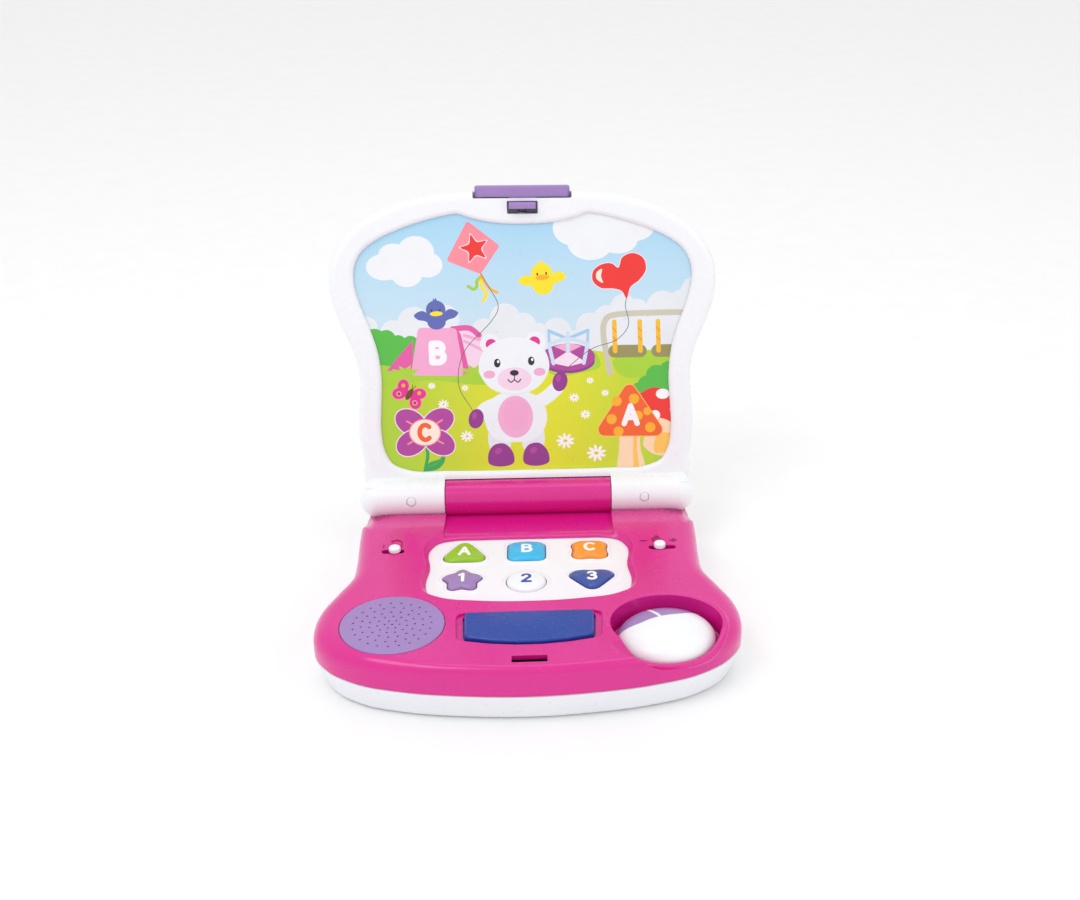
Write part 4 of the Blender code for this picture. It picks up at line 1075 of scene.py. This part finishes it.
def shaded(name, stops, along, gloss=0.3):
    """Printed colour that drifts through the stops, by along, a function of the mapped place's sockets."""
    material = moulded(name, stops[0][1], gloss, 0.02, 0.01, coat=0.15)
    tree = material.node_tree
    place = tree.nodes.new("ShaderNodeTexCoord")
    parts = tree.nodes.new("ShaderNodeSeparateXYZ")
    tree.links.new(place.outputs["Object"], parts.inputs["Vector"])
    ramp = tree.nodes.new("ShaderNodeValToRGB")
    while len(ramp.color_ramp.elements) < len(stops):
        ramp.color_ramp.elements.new(0.5)
    for element, (spot, colour) in zip(ramp.color_ramp.elements, stops):
        element.position = spot
        element.color = (*colour, 1)
    tree.links.new(along(tree, parts), ramp.inputs["Fac"])
    old = tree.nodes["Principled BSDF"].inputs["Base Color"]
    fine = old.links[0].from_socket
    mix = tree.nodes.new("ShaderNodeMix")
    mix.data_type = "RGBA"
    mix.inputs["Factor"].default_value = 0.12
    tree.links.new(ramp.outputs["Color"], mix.inputs["A"])
    tree.links.new(fine, mix.inputs["B"])
    tree.links.new(mix.outputs["Result"], old)
    return material


def by_height(low, high):
    def along(tree, parts):
        ramp = node(tree, "MapRange", From_Min=low, From_Max=high)
        tree.links.new(parts.outputs["Z"], ramp.inputs["Value"])
        return ramp.outputs["Result"]
    return along


def by_side(centre, reach):
    def along(tree, parts):
        move = tree.nodes.new("ShaderNodeMath")
        move.operation = "SUBTRACT"
        move.inputs[1].default_value = centre
        size = tree.nodes.new("ShaderNodeMath")
        size.operation = "ABSOLUTE"
        ramp = node(tree, "MapRange", From_Min=0.0, From_Max=reach)
        tree.links.new(parts.outputs["X"], move.inputs[0])
        tree.links.new(move.outputs["Value"], size.inputs[0])
        tree.links.new(size.outputs["Value"], ramp.inputs["Value"])
        return ramp.outputs["Result"]
    return along


INKS = {
    "cloud": (240, 243, 246), "bank": (230, 235, 240), "leaf": (84, 188, 66), "deep_leaf": (52, 170, 84),
    "shade": (168, 212, 48), "pink": (242, 168, 208), "hot_pink": (226, 88, 164),
    "pale_pink": (243, 212, 232),
    "letter": (247, 247, 250), "fur": (238, 243, 247), "blush": (240, 174, 210), "magenta": (226, 40, 146),
    "purple": (146, 46, 140), "violet": (176, 64, 156), "dark": (34, 30, 34), "red": (238, 46, 40),
    "salmon": (248, 142, 156), "yellow": (250, 226, 24), "gold": (244, 190, 34), "orange": (242, 96, 34),
    "amber": (250, 176, 28), "peach": (252, 218, 180), "lime": (164, 208, 52), "bird_blue": (92, 104, 180),
    "khaki": (204, 200, 180), "seat": (150, 144, 90), "rail": (160, 204, 236), "pale_rail": (205, 226, 244),
    "brown": (110, 62, 26), "line": (96, 92, 96), "cream": (252, 236, 220), "edge": (246, 226, 240),
    "tan": (252, 196, 90), "white": (250, 250, 252),
}


class Artwork:
    """Layers of flat shapes, the first lowest. Each shape has one ink."""

    def __init__(self):
        self.layers = []

    def shape(self, ink, loop):
        self.layers.append((np.asarray(loop, float), ink))

    def smooth(self, ink, points, spacing=1.2):
        self.shape(ink, smooth_loop(points, spacing))

    def oval(self, ink, x, y, rx, ry=None, turn=0.0, sides=30):
        self.shape(ink, ellipse(rx, ry or rx, sides, (x, y), turn))

    def ovals(self, ink, places, sides=30):
        for place in places:
            self.oval(ink, *place, sides=sides)

    def line(self, ink, points, width, smooth=True):
        route = smooth_line(points, 6) if smooth and len(points) > 2 else points
        for loop in stroke(route, width):
            self.shape(ink, loop)

    def letter(self, ink, text, x, y, height, width, turn=0.0):
        for loop in glyph(text, height, width, (x, y), turn):
            self.shape(ink, loop)


def star_points(x, y, far, near, turn):
    points = []
    for k in range(10):
        a = math.radians(turn + 36 * k)
        r = near if k % 2 else far
        points.append((x + r * math.cos(a), y + r * math.sin(a)))
    return points


def paint_sky(art):
    left_cloud = [(-83.5, 142.6, 11, 8), (-78, 149.4, 9, 7.2), (-64.6, 151.2, 11, 9.8),
                  (-58, 143.6, 9.2, 7.6), (-70.4, 139, 9.6, 8.6)]
    right_cloud = [(31, 165, 13, 11), (40.6, 156.4, 14, 11), (57.4, 157.6, 12, 8.4), (66, 165.4, 13.6, 9),
                   (48, 171, 26, 9)]
    low_bank = [(-96, 106, 7), (-80, 103.5, 7), (-67, 108.4, 10), (-48, 110.8, 8.4), (-25, 103.5, 7.4),
                (-12, 110.6, 9.2), (-1, 106, 8), (8, 101, 6.6), (19.5, 102, 8.6), (39.5, 105, 8.4),
                (50.5, 109, 9), (60, 117, 7.6), (68.6, 114.6, 7), (84.4, 116.4, 10), (97, 116, 11),
                (107, 124, 12)]
    art.ovals("cloud", left_cloud + right_cloud, 44)
    art.ovals("bank", low_bank, 40)
    art.shape("bank", [(-104, 74), (104, 74), (104, 118), (88, 112), (52, 108), (40, 104), (8, 100),
                       (-8, 104), (-26, 100), (-48, 108), (-68, 104), (-104, 102)])


def paint_ground(art):
    art.ovals("leaf", [(-91, 99, 6.4), (-84, 99, 5.6), (-77, 96.6, 4.8), (-69.6, 95.4, 5.4), (-64, 93, 4.6)])
    art.shape("leaf", [(-104, 106), (-104, 72), (-58, 72), (-58, 93), (-70, 96), (-84, 101), (-92, 104.6)])
    horizon = smooth_line([(-104, 78.6), (-60, 78.4), (-20, 79.4), (14, 86.5), (34, 90.4), (52, 88.6),
                           (74, 84), (104, 84)])
    art.shape("hill", np.vstack([[(-104, 10), (104, 10)], horizon[::-1]]))
    art.smooth("shade", [(-100, 78), (-60, 78.2), (-24, 78.6), (-20, 74), (-60, 73.2), (-100, 75)])
    art.smooth("shade", [(12, 84), (44, 87.5), (46, 81), (34, 76.4), (14, 77.4)])
    art.smooth("shade", [(54, 80), (100, 83), (104, 72), (76, 72.4), (58, 75)])


def paint_playground(art):
    art.shape("hot_pink", [(-84.6, 79.4), (-68.8, 79.2), (-68.2, 98.2), (-76, 89.6)])
    art.smooth("pale_pink", [(-41, 104.6), (-30, 103.6), (-25, 97), (-22.6, 80.6), (-38, 80)])
    art.line("hot_pink", [(-44, 104.6), (-34, 105), (-28, 100.6)], 3.4)
    art.line("pink", [(-37, 100.6), (-24, 96.6)], 1.8)
    art.line("blush", [(-37, 97), (-23.4, 90)], 1.8)
    art.shape("hot_pink", [(-45, 106), (-41.6, 105.4), (-39, 101), (-34.4, 78.4), (-38, 76.6), (-47, 77)])
    art.shape("pink", rounded([(-67, 79), (-40.6, 78.2), (-44, 102.6), (-62.6, 103)], 2.6, 8))
    art.letter("letter", "B", -53.6, 90, 15.4, 4.0)
    for x in (-73.5, -31.5):
        art.shape("shade", [(x - 7, 78), (x + 6, 77.6), (x + 8, 80.6), (x + 3.4, 79.6), (x + 3.6, 83),
                            (x, 80.4), (x - 3.6, 82.6), (x - 3, 79.8), (x - 8, 80.4)])
    art.oval("purple", 26, 83.6, 16.4, 7.4, sides=44)
    art.oval("violet", 26, 86.2, 16.6, 8.4, sides=44)
    art.shape("edge", [(15, 83), (26, 90), (37, 83), (26, 80.4)])
    art.shape("blush", [(17.5, 93), (26, 89), (34.5, 93), (26, 95.2)])
    posts = ([(14.4, 102), (14.6, 93), (17, 82.4)], [(38.4, 102), (37.8, 93), (35.6, 82.4)], [(26, 101),
                                                                                              (26, 90)])
    for points in posts:
        art.line("pale_rail", points, 2.3, False)
    for x, across_to, down_to in ((14.4, 24, 14.6), (38.4, 28, 38.1)):
        art.line("rail", [(x, 102.6), (across_to, 98.4)], 2.0)
        art.line("rail", [(x, 102.6), (down_to, 95)], 1.2)
    art.line("pale_rail", [(15, 94.6), (26, 97.6), (37.6, 94.6)], 2.2)
    art.line("khaki", [(51.6, 76), (50, 86), (48, 98), (48.4, 107), (54, 111.8), (76, 112.9),
                       (104, 113)], 3.6)
    for x in (62.6, 89.2):
        art.shape("seat", rounded([(x - 8, 89.4), (x + 8, 89.4)], 3.9, 8))
    for x in (54.6, 70.2, 81.4):
        art.line("gold", [(x, 107.6), (x + 0.4, 89.6)], 2.9, False)
        art.line("orange", [(x - 0.9, 104), (x + 1.1, 101.6)], 0.4, False)
        art.line("orange", [(x - 0.8, 98.4), (x + 1.2, 96)], 0.4, False)


def paint_kite(art):
    art.shape("salmon", rounded([(-32.8, 167.4), (-44.2, 146.8), (-26.6, 139.6), (-16.3, 154.3)], 1.6, 6))
    art.smooth("edge", star_points(-29.4, 153.2, 9.4, 4.9, 104), 0.8)
    art.smooth("red", star_points(-29.4, 153.2, 8.5, 4.2, 104), 0.8)
    art.line("lime", [(-26, 136), (-28.4, 133.4), (-28.6, 130.2), (-30.6, 128.6), (-33.8, 130.4)], 1.9)
    art.line("yellow", [(-26, 134), (-25.6, 129.6), (-22.8, 126.2), (-24.9, 121.4)], 1.9)
    art.line("amber", [(-25.8, 137), (-22.8, 131.4), (-20.4, 128.6), (-16.4, 126.6)], 1.7)
    art.line("line", [(-26, 138), (-20.6, 128.6), (-15.9, 118), (-21.1, 108.1), (-37.4, 90.4), (-41.3, 70.3),
                      (-33.2, 53.9)], 0.42)


def paint_heart(art):
    points = [(62.2, 122), (64.6, 128.6), (70.6, 133.6), (74.2, 139.6), (72.6, 146.4), (66.4, 149.4),
              (59.8, 146.8), (57.2, 140.6), (53.4, 143.2), (47.4, 142.8), (42, 138.6), (41.8, 132.8),
              (46.4, 128.6), (54.2, 128), (59.4, 126.4)]
    loop = counter_clockwise(smooth_loop(points, 1.0))
    art.shape("edge", inset(loop, -0.5))
    art.shape("red", loop)
    art.smooth("cream", [(47.4, 140), (44.2, 138), (44, 134.2), (48, 131.6), (46.8, 135.6)], 0.8)
    art.line("line", [(62.2, 122), (61.5, 116.9), (63.3, 105.5), (55.5, 96.3), (39.4, 90.5),
                      (20.5, 75.3)], 0.42)


def paint_bird(art, x, y, scale, body, beak, lean):
    """A small round bird seen from the front, its wings held out."""
    def put(points):
        return turned_by(points, lean, scale) + (x, y)

    art.smooth(body, put([(-4, -1), (-9, 3.2), (-14.6, 0), (-12, -2.6), (-8.4, -3.4), (-4, -5)]), 0.8)
    art.smooth(body, put([(4, -5), (8.4, -3.2), (12, -2.2), (14.6, 0.6), (9, 3.6), (4, -1)]), 0.8)
    art.shape(body, put(ellipse(6.1, 5.2, 30, (0, -4.4))))
    art.shape(body, put(ellipse(6.4, 6.1, 34, (0, 3.6))))
    art.shape(body, put([(-1.6, 9.2), (1.4, 9.0), (0.4, 11.6), (-0.2, 10.2), (-1.2, 11.2)]))
    art.shape(beak, put(ellipse(4.2, 1.6, 24, (0.2, 0.9))))
    for side in (-1, 1):
        art.shape("dark", put(ellipse(0.55, 0.85, 14, (side * 2.7, 3.1))))


def paint_butterfly(art):
    wings = ((-74.9, 70.0, 3.3, 4.0, -10), (-77.6, 65.4, 4.1, 3.4, 10), (-65.4, 65.0, 4.0, 3.2, 0),
             (-68.0, 59.6, 3.4, 4.0, 0))
    for x, y, rx, ry, turn in wings:
        art.oval("salmon", x, y, rx + 0.45, ry + 0.45, turn)
    art.smooth("salmon", [(-76.4, 70.4), (-71.2, 66.6), (-72.6, 63.2), (-78, 64)], 0.9)
    art.smooth("salmon", [(-70.4, 66.4), (-64.6, 66.6), (-66.6, 58.4), (-71, 61.4)], 0.9)
    for x, y, rx, ry, turn in wings:
        art.oval("magenta", x, y, rx, ry, turn)
    art.smooth("magenta", [(-76, 70), (-71.6, 66.2), (-73, 63.6), (-77.6, 64.4)], 0.9)
    art.smooth("magenta", [(-70, 66), (-65, 66.2), (-67, 58.8), (-70.6, 61.6)], 0.9)
    for x, y, ink, r in ((-74.9, 70.3, "amber", 1.2), (-77.8, 65.2, "salmon", 1.7),
                         (-77.8, 65.2, "brown", 0.8), (-65.4, 65.4, "amber", 1.2),
                         (-68.3, 59.4, "salmon", 1.7), (-68.3, 59.4, "brown", 0.8)):
        art.oval(ink, x, y, r, sides=18)
    art.oval("brown", -71.4, 64.8, 1.7, 4.0, -32)
    art.line("brown", [(-69.6, 68.2), (-69.2, 70.8)], 0.4)
    art.line("brown", [(-69.2, 68.0), (-67.4, 70.0)], 0.4)


def paint_flower(art):
    art.line("deep_leaf", [(-64.4, 12), (-62.8, 20), (-61.6, 26), (-62, 33)], 2.1)
    art.smooth("deep_leaf", [(-63.6, 17), (-60.8, 21.6), (-54, 24.2), (-51.6, 28.6), (-51.2, 22.6),
                             (-54.6, 18.2)])
    art.line("leaf", [(-61, 19.4), (-55.6, 21.6), (-53, 25.4)], 0.6)
    petals = ((-71.2, 47.2, 35), (-54.4, 47.6, -30), (-71.0, 34.4, -32), (-54.2, 34.4, 32))
    for x, y, turn in petals:
        art.oval("edge", x, y, 10.7, 8.0, -turn, 40)
        art.oval("violet", x, y, 10.1, 7.4, -turn, 40)
    for x, y, turn in petals:
        mid = (0.45 * -62.8 + 0.55 * x, 0.45 * 40.8 + 0.55 * y)
        art.line("salmon", [(-62.8, 40.8), mid, (x + (x + 62.8) * 0.28, y + (y - 40.8) * 0.12)], 1.1)
    art.oval("salmon", -62.8, 40.8, 9.8, 8.6, sides=44)
    art.oval("cream", -62.8, 40.8, 9.1, 7.9, sides=44)
    art.letter("orange", "C", -62.9, 40.8, 12.2, 2.9)


def paint_mushrooms(art):
    art.ovals("leaf", [(88.5, 76, 7), (80.4, 74, 6.6), (74.2, 68.6, 5.4), (69, 66.4, 3.4), (94, 72, 9)])
    art.shape("leaf", [(70, 50), (100, 46), (100, 74), (82, 72), (70, 64)])
    art.smooth("peach", [(78, 42), (90, 42), (94, 34), (90, 24), (80, 24), (72, 30)])
    art.smooth("tan", [(84, 40), (88.6, 40), (88.4, 30), (84, 25), (80, 25)])
    art.smooth("red", [(66, 58), (72, 64), (80, 66.6), (88, 62.6), (95, 54), (98, 42), (88, 40), (76, 42)])
    art.ovals("white", [(84.2, 62.4, 4.2, 3.2), (92.6, 52.6, 4.0, 3.6), (79.6, 49, 3.0, 3.2)])
    art.smooth("peach", [(82, 47), (88.4, 45), (92.6, 39), (84, 38.6)])
    art.shape("peach", [(57.4, 39), (56.8, 27), (54.4, 11), (75, 11), (70.4, 27), (69.6, 39)])
    art.shape("tan", [(66, 39), (65.6, 27), (65.8, 11), (70.2, 11), (68, 27), (68.2, 39)])
    cap = rounded([(48.2, 40.6), (79.8, 40.0), (63.6, 64.4)], 4.0, 10)
    art.shape("tan", inset(cap, -0.5))
    art.shape("orange", cap)
    art.ovals("amber", [(55.6, 58.2, 3.1), (66.4, 59.6, 3.2), (52.4, 47.0, 3.2), (56.6, 39.2, 3.1),
                        (76.4, 41.4, 3.2), (68.8, 49.0, 3.0), (74.6, 51.6, 2.5)])
    art.letter("letter", "A", 64.2, 49.6, 14.6, 3.3)


def paint_daisies(art):
    for x, y, r in ((-57.7, 69.8, 2.4), (-37.5, 68.1, 2.2), (-50.9, 58.2, 3.4), (-37.1, 37.9, 4.0),
                    (23.5, 33.8, 5.6), (42.7, 25.7, 6.0), (36.2, 50.3, 3.2), (29.4, 60.9, 3.2),
                    (48.5, 63.6, 2.4), (39.3, 71.5, 2.3)):
        for k in range(9):
            a = 2 * math.pi * k / 9 + 0.3
            spot = (x + 0.62 * r * math.cos(a), y + 0.52 * r * math.sin(a))
            turn = math.degrees(math.atan2(math.sin(a) * 0.85, math.cos(a)))
            art.oval("white", *spot, 0.40 * r, 0.15 * r, turn, 16)
        art.oval("white", x, y, 0.4 * r, 0.3 * r, sides=16)
        art.oval("gold", x, y, 0.24 * r, 0.17 * r, sides=16)


def paint_bear(art):
    """A plain white teddy bear with mittens and boots."""
    for x, y in ((-17, 34), (3.6, 34.6)):
        art.smooth("bank", [(x - 5.6, 42), (x + 5.6, 42), (x + 4.6, 28), (x - 4.6, 28)])
    for x, y in ((-16.3, 25.6), (5.4, 26.4)):
        art.smooth("purple", [(x - 8, 21), (x + 8, 21.4), (x + 7.2, 27.4), (x + 1.6, 33), (x - 4.4, 32),
                              (x - 7.8, 27)])
        art.oval("violet", x - 1.8, 28.2, 2.4, 1.8, 30)
    art.line("fur", [(-18, 58), (-25, 55), (-29, 51)], 8.4)
    art.line("fur", [(6, 58), (13, 62), (18.6, 67)], 8.4)
    art.oval("purple", -31.2, 48.8, 4.6, 6.2, -14)
    art.oval("purple", 20.8, 71.2, 4.6, 6.2, -12)
    art.oval("violet", -32.2, 50.6, 1.5, 2.4, -14)
    art.oval("violet", 19.8, 73.2, 1.5, 2.4, -12)
    art.smooth("fur", [(-22, 60), (-26, 48), (-21.6, 37.6), (-7, 33.6), (8, 38), (12.4, 48), (9, 60),
                       (-7, 66)])
    art.oval("blush", -7, 49.6, 10.8, 13.2, sides=44)
    art.oval("pink", -7, 51.4, 7.8, 9.8, sides=40)
    for x, y in ((-21.4, 95), (6.2, 96.2)):
        art.oval("fur", x, y, 6.2)
        art.oval("magenta", x + (0.6 if x < 0 else -0.6), y - 0.2, 3.4)
    art.smooth("bank", [(-28.8, 78), (-22.6, 68.4), (-7.4, 63.2), (8.2, 68.8), (14.6, 78.6), (10, 70)])
    art.smooth("fur", [(-28.6, 79.6), (-24.4, 70.2), (-7.2, 64.2), (10, 70.8), (14.4, 80.6), (11.4, 91.2),
                       (3, 97.2), (-7.4, 99), (-17.8, 96.6), (-26, 90.2)])
    art.oval("blush", -22.4, 76.2, 3.6, 2.5)
    art.oval("blush", 8.4, 77.4, 3.6, 2.5)
    art.oval("pale_pink", -7.1, 73.2, 10.4, 7.2, sides=44)
    art.oval("dark", -7.1, 77.0, 2.7, 1.8)
    art.line("dark", [(-7.1, 75.6), (-7.1, 73.0)], 0.6, False)
    art.line("dark", [(-11, 72.8), (-9.2, 71.2), (-7.1, 72.6), (-5, 71.2), (-3.2, 73)], 0.7)
    for x, y in ((-17.4, 83.2), (3.4, 84.2)):
        art.oval("dark", x, y, 2.0, 2.7)
        art.oval("white", x + 0.6, y + 0.9, 0.75, 0.9, sides=14)


def picture():
    art = Artwork()
    paint_sky(art)
    paint_ground(art)
    paint_playground(art)
    paint_daisies(art)
    paint_mushrooms(art)
    paint_flower(art)
    paint_butterfly(art)
    paint_kite(art)
    paint_bird(art, 11.1, 134.4, 1.0, "yellow", "amber", 5)
    paint_heart(art)
    paint_bird(art, -53.6, 113.2, 0.92, "bird_blue", "yellow", 2)
    paint_bear(art)
    sky = shaded("sky_ink", [(0.0, linear(204, 228, 240)), (1.0, linear(164, 214, 243))],
                 by_height(0.13, 0.2))
    hill = shaded("hill_ink", [(0.0, linear(226, 228, 26)), (0.35, linear(214, 222, 36)),
                               (1.0, linear(166, 208, 50))], by_side(0.006, 0.085))
    names = ["hill", *INKS]
    materials = [sky, hill]
    for ink, colour in INKS.items():
        materials.append(moulded(ink + "_ink", linear(*colour), 0.32, 0.025, 0.01, coat=0.15))
    base = inset(outline(PICTURE_HALF, 2.5), -1.8)
    regions = [(loop, 1 + names.index(ink)) for loop, ink in art.layers]
    sheet = printed("picture", base, regions, materials, lambda x, s: (x, PICTURE_Y, s))
    bm = open_mesh(sheet)
    rows = sweep(bm, [upright(base, PICTURE_Y + depth) for depth in (0.0, 1.2)], closed=False)
    bm.faces.new(rows[1][::-1])
    bmesh.ops.remove_doubles(bm, verts=bm.verts, dist=WELD)
    close_mesh(sheet, bm)
    sheet.data.shade_flat()
    mount(sheet, "lid", "picture_panel", lid=True)


# Carried pieces -----------------------------------------------------------------------------------

def finish_inner_parts():
    """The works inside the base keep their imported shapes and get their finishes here."""
    rubber = moulded("grey_rubber", (0.55, 0.55, 0.53), 0.6, 0.05, 0.08)
    board = moulded("board_green", (0.02, 0.16, 0.05), 0.4, 0.15, 0.08)
    wrap = moulded("cell_wrap", (0.05, 0.32, 0.11), 0.3, 0.05, 0.02)
    red = moulded("red_insulation", (0.5, 0.02, 0.02), 0.4, 0.05, 0.02)
    paper = moulded("paper_cone", (0.03, 0.03, 0.032), 0.85, 0.2, 0.3)
    finishes = [
        (STEEL, "battery_spring_1", "battery_spring_2", "battery_spring_3", "battery_contact_left",
         "battery_contact_right", "mouse_spring", "latch_spring", "speaker_frame", "hinge_pin_left",
         "hinge_pin_right"),
        (BLACK, "mouse_switch", "power_switch", "volume_switch", "speaker_magnet", "sound_chip",
         "battery_lead"),
        (wrap, "battery_1", "battery_2", "battery_3"),
        (rubber, "key_dome_mat", "bar_dome_mat"),
        (board, "circuit_board"),
        (red, "speaker_lead"),
        (paper, "speaker_cone"),
    ]
    for material, *names in finishes:
        for name in names:
            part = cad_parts[name]
            part.data.materials.clear()
            part.data.materials.append(material)


# Stage --------------------------------------------------------------------------------------------

def stage():
    bpy.ops.mesh.primitive_plane_add(size=8, location=(0, 0, -0.0002))
    floor = bpy.context.object
    floor.name = "floor"
    pale = moulded("pale_floor", (0.95, 0.95, 0.95), 0.75, 0.01, 0.01)
    floor.data.materials.append(pale)
    world = bpy.data.worlds.new("studio")
    world.use_nodes = True
    background = world.node_tree.nodes["Background"]
    background.inputs["Color"].default_value = (1, 1, 1, 1)
    background.inputs["Strength"].default_value = 0.9
    bpy.context.scene.world = world
    bpy.context.scene.view_settings.view_transform = "Standard"
    for name, place, size, watts in LIGHTS:
        data = bpy.data.lights.new(name, "AREA")
        data.shape = "RECTANGLE"
        data.size, data.size_y = size
        data.energy = watts
        light = bpy.data.objects.new(name, data)
        light.location = place
        aim = Vector((0, 0, 0.08)) - Vector(place)
        light.rotation_euler = aim.to_track_quat("-Z", "Y").to_euler()
        bpy.context.scene.collection.objects.link(light)


LIGHTS = [
    ("key_light", (-0.55, -0.5, 1.25), (0.7, 0.5), 3.2),
    ("fill_light", (0.9, -0.8, 0.9), (0.8, 0.8), 1.2),
    ("top_light", (0.1, 0.3, 1.5), (1.0, 0.5), 1.9),
]
CAMERA_PLACE = (7.246, -757.585, 492.996)
CAMERA_ELEVATION, CAMERA_AZIMUTH, CAMERA_ROLL = 26.751, -4.538, 0.897
CAMERA_LENS, CAMERA_SHIFT = 51.24, -0.1002


def camera():
    e, a, r = (math.radians(v) for v in (CAMERA_ELEVATION, CAMERA_AZIMUTH, CAMERA_ROLL))
    ahead = Vector((-math.sin(a) * math.cos(e), math.cos(a) * math.cos(e), -math.sin(e)))
    sideways = Vector((math.cos(a), math.sin(a), 0))
    upward = sideways.cross(ahead)
    x = sideways * math.cos(r) + upward * math.sin(r)
    y = upward * math.cos(r) - sideways * math.sin(r)
    data = bpy.data.cameras.new("camera")
    data.sensor_width = 36.0
    data.lens, data.shift_x = CAMERA_LENS, CAMERA_SHIFT
    data.clip_start, data.clip_end = 0.05, 50
    made = bpy.data.objects.new("camera", data)
    turn = Matrix((x, y, -ahead)).transposed().to_4x4()
    made.matrix_world = Matrix.Translation(Vector(CAMERA_PLACE) * MM) @ turn
    bpy.context.scene.collection.objects.link(made)
    bpy.context.scene.camera = made


base_top()
base_bottom()
battery_door()
grille()
keys()
bar_button()
keypad()
mouse()
knob("power_cap", POWER_KNOB, "power", "power_knob")
knob("volume_cap", VOLUME_KNOB, "volume", "volume_knob")
raised_marks()
front_bezel()
rear_shell()
latch()
hinge_caps()
screws()
picture()
finish_inner_parts()
stage()
camera()
